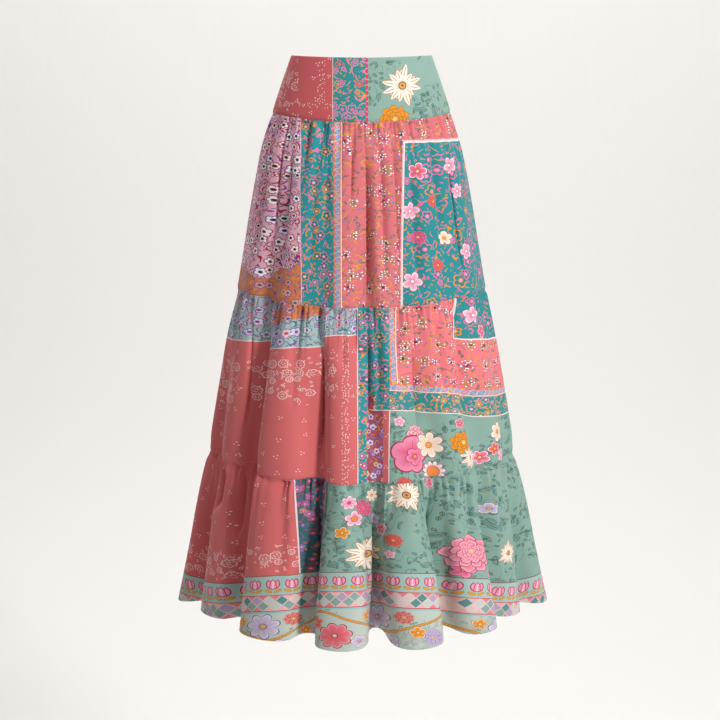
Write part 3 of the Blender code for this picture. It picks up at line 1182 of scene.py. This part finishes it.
# Tier 2. The middle tier, fuller than the first, gathered along its upper edge and sewn to
# the first tier's lower edge.
TIER_2_GATHERS = 36
TIER_2_GATHER_HEIGHT = 0.0050
TIER_2_CREASES = (  # angle, upper and lower depth, half width in degrees, inset, overhang
    (-72, 0.41, 0.60, 2.6, 0.006, 0),
    (-61, 0.42, 0.66, 2.2, 0.009, 1),
    (-49, 0.41, 0.69, 2.8, 0.012, 0),
    (-40, 0.41, 0.50, 1.6, 0.006, 0),
    (-30, 0.42, 0.60, 1.8, 0.004, 0),
    (-17.5, 0.43, 0.69, 2.4, 0.013, 1),
    (-8, 0.41, 0.52, 1.5, 0.006, 0),
    (-3, 0.41, 0.49, 1.4, 0.006, 0),
    (2.5, 0.41, 0.62, 1.8, 0.012, 1),
    (7.5, 0.41, 0.58, 1.6, 0.008, 0),
    (15, 0.42, 0.54, 1.5, 0.005, 0),
    (22, 0.43, 0.68, 2.2, 0.008, 1),
    (35, 0.41, 0.58, 2.2, 0.009, 0),
    (48, 0.42, 0.69, 2.8, 0.011, 0),
    (63, 0.41, 0.56, 2.0, 0.006, 0),
    (98, 0.42, 0.62, 2.4, 0.008, 1),
    (113, 0.41, 0.53, 1.8, 0.006, 0),
    (123, 0.41, 0.68, 2.6, 0.012, -1),
    (139, 0.42, 0.55, 1.8, 0.006, 0),
    (150, 0.41, 0.64, 2.2, 0.009, 1),
    (163, 0.41, 0.52, 1.6, 0.006, 0),
    (172, 0.42, 0.68, 2.2, 0.012, 1),
    (187, 0.41, 0.53, 1.7, 0.007, 0),
    (200, 0.42, 0.62, 2.2, 0.009, -1),
    (214, 0.41, 0.55, 1.8, 0.006, 0),
    (223, 0.43, 0.68, 2.6, 0.011, 1),
    (238, 0.41, 0.52, 1.7, 0.006, 0),
    (249, 0.42, 0.64, 2.2, 0.008, -1),
)


def joined_place(tree, x, y):
    """A place on the cloth from its two directions."""
    node = tree.nodes.new("ShaderNodeCombineXYZ")
    feed(node.inputs[0], x)
    feed(node.inputs[1], y)
    return node.outputs[0]


def crossways(place):
    """A place with its two directions swapped, for a trim that runs across the panel."""
    x, y = across_and_down(place)
    return joined_place(place.id_data, y, x)


POPPY = blossom_inks("F59ABA DC4474 A02A50 DFA63C")
PEONY = blossom_inks("FCC4CE EE84A0 B8345C F2C48A")
LILAC_GREY = flower_inks("A9B4BC 7A5E9E D8486A 5A9078 DCD0EA B03050", 0.0165, 0.8)
SKY = flower_inks("A6C0C0 7C62A8 3E8078 D8486A DED4EC C04A6A", 0.0180, 0.7)
TEAL_BAND = flower_inks("2F9090 F2A030 F08CB0 EE7A6A 2F9090 F6D6A0", 0.0150, 0.4)
MEADOW = flower_inks("A8505C 8E74BC E0902E C83C6C E6D4E2 6A4A90", 0.0150, 0.9)
# Where one material ends and the next starts, because one can't hold the whole print.
TIER_2_PARTINGS = (0.026, 0.153)


def tier_2_left_layout(place):
    """Left of the first parting: a lilac flowered block over coral, then a teal strip."""
    strip_edge = -0.0070
    x, y = across_and_down(place)
    sway = (wavering(place, 0.03) - 0.5) * 0.06
    patch = span(x + sway, -0.165, -0.070) * (y < 0.4570 + sway * 0.6)
    flowers = flower_blocks(
        place, LILAC_GREY, (y > 0.4600 + sway, SKY), (patch, PEACH),
        (x > strip_edge - 0.0005, TEAL_STRIP), ((x > 0.0100) * (y > 0.60), MEADOW),
    )
    coral_top = 0.4926 + span(x, -0.167, -0.066) * 0.0181
    marks = posies(place, 0.5620, 0.0470) * (x < -0.040)
    marks = marks | bead_rows(place, 0.7) * span(x, -0.0335, -0.0218)
    coral = paint(colour_of(coral_sprigs, place), ink("F6E2DE"), marks)
    colour = paint(flowers, coral, y > coral_top)
    colour = paint(colour, ink("F6E0E0"), span(y, coral_top - 0.0018, coral_top))
    colour = paint(colour, flowers, x > strip_edge)
    colour = paint(colour, ink("F7E2E4"), span(x, strip_edge - 0.0014, strip_edge + 0.0004))
    return paint(colour, ink("F4D4D4"), span(y, 0.6255, 0.6272) * (x > 0.0142))


def tier_2_right_blocks(place, patch_motifs, garden_motifs):
    """Right of the first parting: salmon with a teal patch, a teal band, and a sage garden."""
    x, y = across_and_down(place)
    flowers = flower_blocks(
        place, TEAL_STRIP, (x > 0.0800, TEAL), ((x > 0.0480) * (y > 0.56), TEAL_BAND),
        ((x < 0.0480) * (y > 0.6250), MEADOW),
    )
    colour = paint(flowers, colour_of(coral_sprigs, place), (x > 0.0385) * (y > 0.6270))
    colour = paint(colour, ink("F4D4D4"), span(y, 0.6255, 0.6270))
    # The leaf trim, with the salmon cloth and its teal patch to the right of it
    trim = colour_of(trim_print, place, middle=0.0541, half=0.0064)
    right = x > 0.0477
    upper = y < 0.5904
    colour = paint(colour, trim, right * upper)
    colour = paint(colour, colour_of(beaded_flowers, place), (x > 0.0605) * upper)
    colour = paint(colour, ink("FBE6E8"), span(x, 0.0607, 0.0628) * upper)
    colour = paint(colour, ink("FBE6E8"), (x > 0.1690) * (y < 0.4915))
    patch = set_motifs(flowers, place, patch_motifs)
    colour = paint(colour, patch, (x > 0.1712) * (y < 0.4890))
    # A row of the same trim under them, then the teal band and the garden
    trim_row = colour_of(trim_print, crossways(place), middle=0.5841, half=0.0064)
    colour = paint(colour, trim_row, right * (y > 0.5778))
    colour = paint(colour, flowers, right * (y > 0.5903))
    colour = paint(colour, ink("F6E4E2"), right * span(y, 0.5893, 0.5907))
    colour = paint(colour, ink("F6E4E2"), right * (y > 0.6252))
    garden = set_motifs(colour_of(sage_leaves, place), place, garden_motifs)
    return paint(colour, garden, (x > 0.0495) * (y > 0.6268))


def tier_2_middle_layout(place):
    """Between the partings, with the largest blossoms of the garden."""
    return tier_2_right_blocks(place, (), (
        (rosette, 0.0960, 0.6690, 0.0200, 0.3, dict(PEONY, petals=ink("FBEDE6"))),
        (blossom, 0.0850, 0.7060, 0.0360, 0.3, dict(POPPY, notch=0.24, rim=ink("F48CAE"))),
        (blossom, 0.0900, 0.7090, 0.0170, 1.0, dict(POPPY, notch=0.40, rim=ink("F48CAE"))),
        (blossom, 0.1240, 0.6850, 0.0250, 0.6, dict(CREAM, count=7.0, rim=ink("FFF8F0"))),
        (blossom, 0.1323, 0.7330, 0.0205, 0.2, dict(
            PINK, count=11.0, middle=0.48, heart=ink("EC8A3C"), petals=ink("FFF4F0")
        )),
        (blossom, 0.0640, 0.6460, 0.0100, 0.2, PINK),
        (rosette, 0.0740, 0.7620, 0.0150, 0.2, CORAL),
    ))


def tier_2_right_layout(place):
    """Right of the second parting, with a marigold and a daisy."""
    patch_motifs = (
        (blossom, 0.1980, 0.4480, 0.0165, 0.3, PINK),
        (blossom, 0.2230, 0.4760, 0.0130, 0.9, ROSE),
    )
    return tier_2_right_blocks(place, patch_motifs, (
        (rosette, 0.1755, 0.6770, 0.0220, 0.9, MUSTARD),
        (daisy, 0.1950, 0.7030, 0.0270, 0.3, {}),
        (blossom, 0.2210, 0.6990, 0.0140, 0.9, dict(ROSE, heart=ink("F6D04A"))),
        (blossom, 0.2500, 0.6540, 0.0185, 0.4, dict(CREAM, count=6.0)),
        (blossom, 0.2420, 0.6840, 0.0130, 0.7, CORAL),
        (blossom, 0.2620, 0.6960, 0.0130, 0.1, PINK),
        (blossom, 0.1690, 0.6430, 0.0100, 0.2, ROSE),
    ))


TIER_2_COLOUR = (0.52, 0.36, 0.38, 1.0)
tier_2_left_print = printed("tier_2_print_left", TIER_2_COLOUR, tier_2_left_layout)
tier_2_middle_print = printed("tier_2_print_middle", TIER_2_COLOUR, tier_2_middle_layout)
tier_2_right_print = printed("tier_2_print_right", TIER_2_COLOUR, tier_2_right_layout)
tier_2_form = gathered(
    TIER_1_SEAM,
    TIER_2_GATHERS,
    TIER_2_GATHER_HEIGHT,
    small_pleats(23, 140, 0.72, 0.080, 0.0064),
    TIER_2_CREASES,
)
for half, centre in HALVES:
    panel = drape_panel(
        f"tier_2_{half}_cloth", centre, (TIER_1_SEAM, TIER_2_SEAM), (480, 62), tier_2_form,
        (tier_2_left_print, tier_2_middle_print, tier_2_right_print), TIER_2_CREASES,
        TIER_2_PARTINGS,
        before=seam_allowance(TIER_1_SEAM, tier_1_form),
    )
    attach(panel, "root")
    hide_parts(f"tier_2_{half}")


# Tier 3. The lowest and fullest tier, gathered under the second. Its print ends in borders,
# and its edge is turned up and sewn with two rows of stitches.
TIER_3_GATHERS = 44
TIER_3_GATHER_HEIGHT = 0.0060
TIER_3_CREASES = (  # angle, upper and lower depth, half width in degrees, inset, overhang
    (-80, 0.70, 0.95, 2.0, 0.008, 0),
    (-70, 0.70, 0.80, 2.4, 0.022, 1),
    (-60.5, 0.70, 0.85, 2.4, 0.020, 0),
    (-49, 0.70, 0.96, 2.2, 0.012, 1),
    (-41, 0.70, 0.80, 1.4, 0.008, 0),
    (-31, 0.71, 0.90, 1.8, 0.007, 0),
    (-17.5, 0.70, 0.96, 2.2, 0.013, 1),
    (-11, 0.70, 0.80, 1.3, 0.008, 0),
    (-4, 0.71, 0.83, 1.2, 0.005, 0),
    (4, 0.70, 0.96, 1.8, 0.010, 1),
    (11, 0.70, 0.84, 1.4, 0.008, 0),
    (20, 0.70, 0.86, 2.0, 0.009, 0),
    (28, 0.71, 0.96, 2.7, 0.016, -1),
    (41, 0.70, 0.86, 2.0, 0.013, 0),
    (54, 0.71, 0.95, 2.4, 0.014, 0),
    (66, 0.70, 0.84, 1.8, 0.007, 0),
    (77, 0.70, 0.93, 2.0, 0.009, 0),
    (100, 0.70, 0.95, 2.0, 0.010, 1),
    (110, 0.70, 0.82, 1.6, 0.007, 0),
    (121, 0.71, 0.96, 2.2, 0.011, -1),
    (133, 0.70, 0.84, 1.6, 0.007, 0),
    (147, 0.71, 0.94, 2.0, 0.009, 1),
    (158, 0.70, 0.82, 1.5, 0.008, 0),
    (171, 0.70, 0.96, 2.0, 0.011, 1),
    (183, 0.70, 0.84, 1.5, 0.007, 0),
    (197, 0.71, 0.95, 2.0, 0.010, -1),
    (209, 0.70, 0.83, 1.6, 0.007, 0),
    (222, 0.70, 0.96, 2.2, 0.011, 1),
    (236, 0.70, 0.84, 1.6, 0.008, 0),
    (248, 0.71, 0.94, 2.0, 0.009, -1),
    (259, 0.70, 0.82, 1.5, 0.007, 0),
)


def tulip_row():
    """A row of small pink tulips with mustard leaves, on a pale aqua ground."""
    group, given = start_print("tulip row", ground=ink("A8C6C1"), middle=0.94)
    x, y = across_and_down(given["Place"])
    pitch = 0.0245
    across = x % pitch - pitch * 0.5
    down = y - Reading(given["Middle"])
    side = abs(across)
    colour = given["Ground"]
    leaf_x, leaf_y = side - 0.0058, down - 0.0092
    along = leaf_x * 0.88 - leaf_y * 0.47
    beside = leaf_x * 0.47 + leaf_y * 0.88
    leaf = oval(along, beside, 0.005477, 0.002646)
    colour = paint(colour, ink("E0A02E"), leaf < 1.0)
    colour = paint(colour, ink("A9762A"), span(leaf, 0.72, 1.0))
    cup = oval(across, down + 0.0035, 0.009055, 0.0100)
    notches = 0.0040 * abs(sine(across * (math.pi / 0.0056)))
    flower = (cup < 1.0) * (down > notches - 0.0128)
    colour = paint(colour, ink("B82A52"), flower)
    inner = (cup < 0.72) * (down > notches - 0.0112)
    colour = paint(colour, ink("F29CB6"), inner)
    between_petals = abs(side - 0.0024 - (down + 0.013) * 0.12)
    colour = paint(colour, ink("CF4A72"), inner * (between_petals < 0.00065))
    colour = paint(colour, ink("FBD3DD"), inner * (side < 0.0009) * (down > -0.0085))
    return end_print(group, colour=colour)


tulips = tulip_row()


def diamond_row():
    """A lattice of small diamonds in pale inks between coral triangles."""
    group, given = start_print("diamond lattice", top=0.9586)
    place = given["Place"]
    tree = place.id_data
    x, y = across_and_down(place)
    width, height = 0.0165, 0.0190
    down = (y - Reading(given["Top"])) / height
    falling = x / width + down
    rising = x / width - down
    cell = tree.nodes.new("ShaderNodeTexWhiteNoise")
    cell.noise_dimensions = "2D"
    falling_cell, rising_cell = worked("FLOOR", falling), worked("FLOOR", rising)
    lots = joined_place(tree, falling_cell, rising_cell)
    feed(cell.inputs["Vector"], lots)
    lot = Reading(cell.outputs["Value"])
    colour = paint(ink("CBCFC6"), ink("8EA8A2"), lot > 0.28)
    colour = paint(colour, ink("B9A2C0"), lot > 0.50)
    colour = paint(colour, ink("E4C8C6"), lot > 0.66)
    colour = paint(colour, ink("5F8E90"), lot > 0.86)
    at_edge = abs(falling_cell - rising_cell - 1.5) > 1.0
    edge_ink = paint(ink("E8848A"), ink("F0B4B4"), lot > 0.6)
    colour = paint(colour, edge_ink, at_edge)
    edge = abs(falling % 1.0 - 0.5) | abs(rising % 1.0 - 0.5)
    colour = paint(colour, ink("F6EEE8"), edge > 0.445)
    colour = paint(colour, ink("A07A84"), edge > 0.482)
    return end_print(group, colour=colour)


diamonds = diamond_row()


LILAC = blossom_inks("DCD0E4 BCA6CE 785E9C E2B25A")


def hem_vine():
    """The border at the hem: a hatched orange vine in waves, with lilac and coral flowers."""
    group, given = start_print("hem vine")
    place = given["Place"]
    tree = place.id_data
    x, y = across_and_down(place)
    wave = 0.2130
    crest = -0.0625
    turn = (x - crest) * (2.0 * math.pi / wave)
    line = 1.0180 - 0.0200 * cosine(turn) - 0.0025 * cosine(turn * 3.0)
    colour = colour_of(
        sage_leaves, place, ground=ink("C3CEC5"), line=ink("9AACA3"), fullness=0.0
    )
    from_vine = abs(y - line)
    colour = paint(colour, ink("9A5E20"), from_vine < 0.0025)
    colour = paint(colour, ink("D08A28"), from_vine < 0.0019)
    hatch = ((x + y * 0.6) % 0.0030) < 0.0010
    colour = paint(colour, ink("E8B868"), hatch * (from_vine < 0.0015))
    leaf = oval((x - crest) % 0.0178 - 0.0089, y - line + 0.0062, 0.005477, 0.002121)
    colour = paint(colour, ink("7FA79A"), (leaf < 1.0) * ((x % 0.071) < 0.032))
    at_crest = joined_place(tree, (x - (crest - wave * 0.5)) % wave - wave * 0.5, y)
    at_trough = joined_place(tree, (x - crest) % wave - wave * 0.5, y)
    colour = set_motifs(colour, at_crest, (
        (blossom, 0.0200, 1.0400, 0.0240, 0.2, dict(
            POPPY, petals=ink("F07C84"), shade=ink("E0586A"), count=8.0, notch=0.36,
            rim=ink("F6A6A8"), heart=ink("E8D4B0"), middle=0.12
        )),
        (rosette, -0.0330, 1.0400, 0.0170, 0.5, LILAC),
        (blossom, -0.0560, 1.0320, 0.0120, 0.5, MUSTARD),
        (blossom, -0.0080, 1.0170, 0.0125, 0.4, dict(CORAL, rim=ink("F6C6B0"))),
        (blossom, 0.0520, 1.0510, 0.0115, 0.7, LILAC),
    ))
    colour = set_motifs(colour, at_trough, (
        (blossom, -0.0060, 1.0150, 0.0240, 0.3, dict(LILAC, count=7.0, rim=ink("E4DAEC"))),
        (rosette, 0.0330, 1.0050, 0.0130, 0.3, dict(CORAL, petals=ink("F4C0B4"))),
        (blossom, -0.0400, 1.0060, 0.0110, 0.2, MUSTARD),
        (blossom, 0.0160, 1.0530, 0.0140, 0.7, LILAC),
        (rosette, -0.0300, 1.0540, 0.0110, 0.7, ROSE),
    ))
    return end_print(group, colour=colour)


vine_border = hem_vine()


DEEP_TEAL = flower_inks("326C70 C03C60 7460A4 D88A34 A878B0 F2C4CC", 0.0160, 0.8)
TIER_3_PARTINGS = (-0.050,)


def with_borders(colour, place):
    """Adds the borders above the hem: tulips, a lattice of diamonds and a waving vine."""
    _, y = across_and_down(place)
    for top, band in (
        (0.9222, ink("8C5A44")),
        (0.9237, colour_of(tulips, place, middle=0.9412)),
        (0.9580, ink("D23A50")),
        (0.9593, colour_of(diamonds, place)),
        (0.9866, ink("D23A50")),
        (0.9882, ink("8FCAC6")),
        (0.9912, colour_of(vine_border, place)),
    ):
        colour = paint(colour, band, y > top)
    return colour


def tier_3_left_layout(place):
    """Left of the parting: coral with posies, and a deep teal strip."""
    x, _ = across_and_down(place)
    coral = colour_of(coral_sprigs, place)
    colour = paint(coral, ink("F6E2DE"), posies(place, 0.8900, 0.0300))
    colour = paint(colour, flower_blocks(place, DEEP_TEAL), x > -0.1229)
    colour = paint(colour, ink("FAE8E8"), span(x, -0.1240, -0.1220))
    colour = paint(colour, colour_of(sage_leaves, place), x > -0.0678)
    colour = paint(colour, ink("D8315A"), span(x, -0.0690, -0.0673))
    return with_borders(colour, place)


def tier_3_right_layout(place):
    """Right of the parting: a sage garden with daisies, a peony and small blossoms."""
    garden = set_motifs(colour_of(sage_leaves, place), place, (
        (daisy, 0.0762, 0.7800, 0.0340, 0.4, {}),
        (daisy, 0.0058, 0.8920, 0.0380, 0.1, {}),
        (rosette, 0.2420, 0.9100, 0.0170, 0.8, PEONY),
        (blossom, 0.1900, 0.9080, 0.0160, 1.3, dict(POPPY, rim=ink("F48CAE"))),
        (rosette, 0.1975, 0.8790, 0.0350, 0.3, PEONY),
        (rosette, 0.1990, 0.8750, 0.0180, 1.3, dict(PEONY, petals=ink("FDD3DC"))),
        (blossom, 0.0400, 0.8450, 0.0120, 0.2, ROSE),
        (rosette, 0.0600, 0.8640, 0.0125, 0.7, CORAL),
        (blossom, 0.0560, 0.8900, 0.0085, 0.5, PINK),
        (blossom, -0.0160, 0.8260, 0.0150, 0.3, dict(PINK, heart=ink("EC8A3C"), middle=0.3)),
        (rosette, 0.0020, 0.8060, 0.0160, 0.3, dict(POPPY, heart=ink("EC8A3C"))),
        (blossom, -0.0230, 0.7960, 0.0130, 0.6, dict(PINK, count=7.0, heart=ink("C9428A"))),
        (blossom, 0.0190, 0.7840, 0.0120, 0.6, dict(CREAM, count=7.0)),
        (blossom, -0.0330, 0.8500, 0.0120, 0.1, MUSTARD),
        (blossom, 0.0250, 0.8290, 0.0110, 0.4, dict(LILAC, rim=ink("F4ECF6"))),
        (blossom, 0.1290, 0.7560, 0.0110, 0.9, ROSE),
        (blossom, 0.1080, 0.7420, 0.0110, 0.3, dict(CREAM, count=6.0)),
        (blossom, 0.2480, 0.7900, 0.0110, 0.5, LILAC),
        (daisy, 0.2900, 0.8700, 0.0240, 0.5, {}),
    ))
    return with_borders(garden, place)


TIER_3_COLOUR = (0.50, 0.44, 0.40, 1.0)
tier_3_left_print = printed("tier_3_print_left", TIER_3_COLOUR, tier_3_left_layout)
tier_3_right_print = printed("tier_3_print_right", TIER_3_COLOUR, tier_3_right_layout)
tier_3_form = gathered(
    TIER_2_SEAM,
    TIER_3_GATHERS,
    TIER_3_GATHER_HEIGHT,
    small_pleats(37, 150, 0.75, 0.100, 0.0088),
    TIER_3_CREASES,
)
# The stitches: their rows above the hem, their length, the share of it that shows, their
# radius, and how far they stand out of the cloth.
STITCH_ROWS = (0.0115, 0.0150)
STITCH_LENGTH = 0.0032
STITCH_SHARE = 0.78
STITCH_RADIUS = 0.00026
STITCH_PROUD = 0.00012


def stitch_rows(name, centre, shape, material):
    """Two rows of low, rounded stitches that hold the turned-up hem."""
    bm = bmesh.new()
    angles = np.linspace(-89.6, 89.6, 6000) + centre
    for above_hem in STITCH_ROWS:
        points = cloth_row(angles, HEM - above_hem, (1.0, 1.0), shape)
        steps = np.linalg.norm(np.diff(points, axis=0), axis=1)
        run = np.concatenate([[0.0], np.cumsum(steps)])
        for start in np.arange(0.001, run[-1] - STITCH_LENGTH, STITCH_LENGTH):
            ends = [
                Vector([np.interp(start + far, run, points[:, axis]) for axis in range(3)])
                for far in (0.0, STITCH_LENGTH * STITCH_SHARE)
            ]
            along = (ends[1] - ends[0]).normalized()
            out = along.cross(Vector((0.0, 0.0, 1.0))).normalized()
            made = bmesh.ops.create_cone(
                bm, cap_ends=True, segments=4, radius1=STITCH_RADIUS, radius2=STITCH_RADIUS,
                depth=(ends[1] - ends[0]).length,
            )
            turn = Matrix((out, Vector((0.0, 0.0, 1.0)), along)).transposed().to_4x4()
            middle = (ends[0] + ends[1]) * 0.5 + out * STITCH_PROUD
            bmesh.ops.transform(bm, matrix=Matrix.Translation(middle) @ turn, verts=made["verts"])
    stitches = made_object(name, bm)
    stitches.data.materials.append(material)
    return stitches


def sewing_thread():
    """Spun polyester thread in a pale sage, with painted shade in fine slanting stripes where its
    plies wind round.
    """
    material, shader = start_material("sewing_thread", (0.62, 0.66, 0.58, 1.0))
    place = material.node_tree.nodes.new("ShaderNodeTexCoord").outputs["Object"]
    x, y = across_and_down(place)
    # Painted shade: darker slanting stripes stand for the shade in the grooves between the
    # thread's plies.
    twist_shade = sine((x + y) * 9000.0) * 0.5 + 0.5
    feed(shader.inputs["Base Color"], paint(ink("C9CDBE"), ink("A3AC9C"), twist_shade))
    feed(shader.inputs["Roughness"], 0.55)
    return material


HEM_TURNING = [
    (HEM - depth, inside, tier_3_form)
    for depth, inside in (*FOLD_OVER[::-1], (0.0060, 0.0021), (0.0120, 0.0021), (0.0170, 0.0021))
]
thread = sewing_thread()
for half, centre in HALVES:
    panel = drape_panel(
        f"tier_3_{half}_cloth", centre, (TIER_2_SEAM, HEM), (580, 64), tier_3_form,
        (tier_3_left_print, tier_3_right_print), TIER_3_CREASES, TIER_3_PARTINGS,
        before=seam_allowance(TIER_2_SEAM, tier_2_form), after=HEM_TURNING,
    )
    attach(panel, "root")
    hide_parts(f"tier_3_{half}")
    sewn = stitch_rows(f"hem_stitches_{half}", centre, tier_3_form, thread)
    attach(sewn, "root")


# Studio. A pale paper floor that curves up into the backdrop, a soft light from the front
# right, a wide one overhead, one on the backdrop, and the photograph's camera.
FLOOR = -1.90


def paper_sweep():
    """The floor and the backdrop, as one wide sheet of paper."""
    bm = bmesh.new()
    profile = [
        (-40.0, FLOOR), (-4.0, FLOOR), (1.6, FLOOR), (2.6, FLOOR), (3.3, FLOOR + 0.25),
        (3.6, FLOOR + 0.95), (3.65, FLOOR + 2.0), (3.65, 5.0),
    ]
    corners = [bm.verts.new((-40.0, ahead, up)) for ahead, up in profile]
    edges = [bm.edges.new(pair) for pair in zip(corners, corners[1:])]
    made = bmesh.ops.extrude_edge_only(bm, edges=edges)
    far_corners = [part for part in made["geom"] if isinstance(part, bmesh.types.BMVert)]
    bmesh.ops.translate(bm, verts=far_corners, vec=(80.0, 0.0, 0.0))
    bmesh.ops.recalc_face_normals(bm, faces=bm.faces)
    backdrop = made_object("backdrop", bm)
    smooth = backdrop.modifiers.new("sweep", "SUBSURF")
    smooth.levels = smooth.render_levels = 3
    material, shader = start_material("backdrop_paper", (0.8, 0.8, 0.8, 1.0))
    place = material.node_tree.nodes.new("ShaderNodeTexCoord").outputs["Object"]
    grain = wavering(place, 0.004, 2.0)
    feed(shader.inputs["Base Color"], paint(ink("F9F7F4"), ink("F5F3F0"), grain))
    feed(shader.inputs["Roughness"], 0.9)
    backdrop.data.materials.append(material)
    return backdrop


paper_sweep()


def soft_light(name, place, aim, size, watts, colour):
    """A large square light that faces a point."""
    lamp = bpy.data.lights.new(name, "AREA")
    lamp.size = size
    lamp.energy = watts
    lamp.color = colour
    light = bpy.data.objects.new(name, lamp)
    light.location = place
    light.rotation_euler = (Vector(aim) - Vector(place)).to_track_quat("-Z", "Y").to_euler()
    bpy.context.scene.collection.objects.link(light)


soft_light("key", (2.05, -2.8, 0.6), (0.0, 0.0, -0.5), 0.5, 91.0, (1.0, 0.985, 0.97))
soft_light("overhead", (0.0, 2.4, 4.2), (0.0, 2.4, -1.0), 6.0, 130.0, (1.0, 1.0, 1.0))
soft_light("backdrop_light", (0.0, 0.9, 3.0), (0.0, 3.6, -0.4), 5.0, 136.0, (1.0, 1.0, 1.0))
world = bpy.data.worlds.new("studio")
bpy.context.scene.world = world
world.use_nodes = True
soft_air = world.node_tree.nodes["Background"]
feed(soft_air.inputs["Color"], (1.0, 0.99, 0.975, 1.0))
feed(soft_air.inputs["Strength"], 0.07)

# The camera stands at the height of the waist and looks down a little. The photograph's
# middle is a pixel and a half to the side of the skirt's, out of its width in pixels.
CAMERA_DISTANCE = 3.0
CAMERA_HEIGHT = -0.03
CAMERA_TILT = 9.55
PHOTO_SHIFT = -1.5
PHOTO_WIDTH = 720.0
camera = bpy.data.objects.new("camera", bpy.data.cameras.new("camera"))
camera.data.lens = 85.15
camera.data.sensor_width = 36.0
camera.data.shift_x = PHOTO_SHIFT / PHOTO_WIDTH
camera.location = (0.0, -CAMERA_DISTANCE, CAMERA_HEIGHT)
camera.rotation_euler = (math.radians(90.0 - CAMERA_TILT), 0.0, 0.0)
bpy.context.scene.collection.objects.link(camera)
bpy.context.scene.camera = camera
bpy.context.scene.view_settings.view_transform = "Standard"
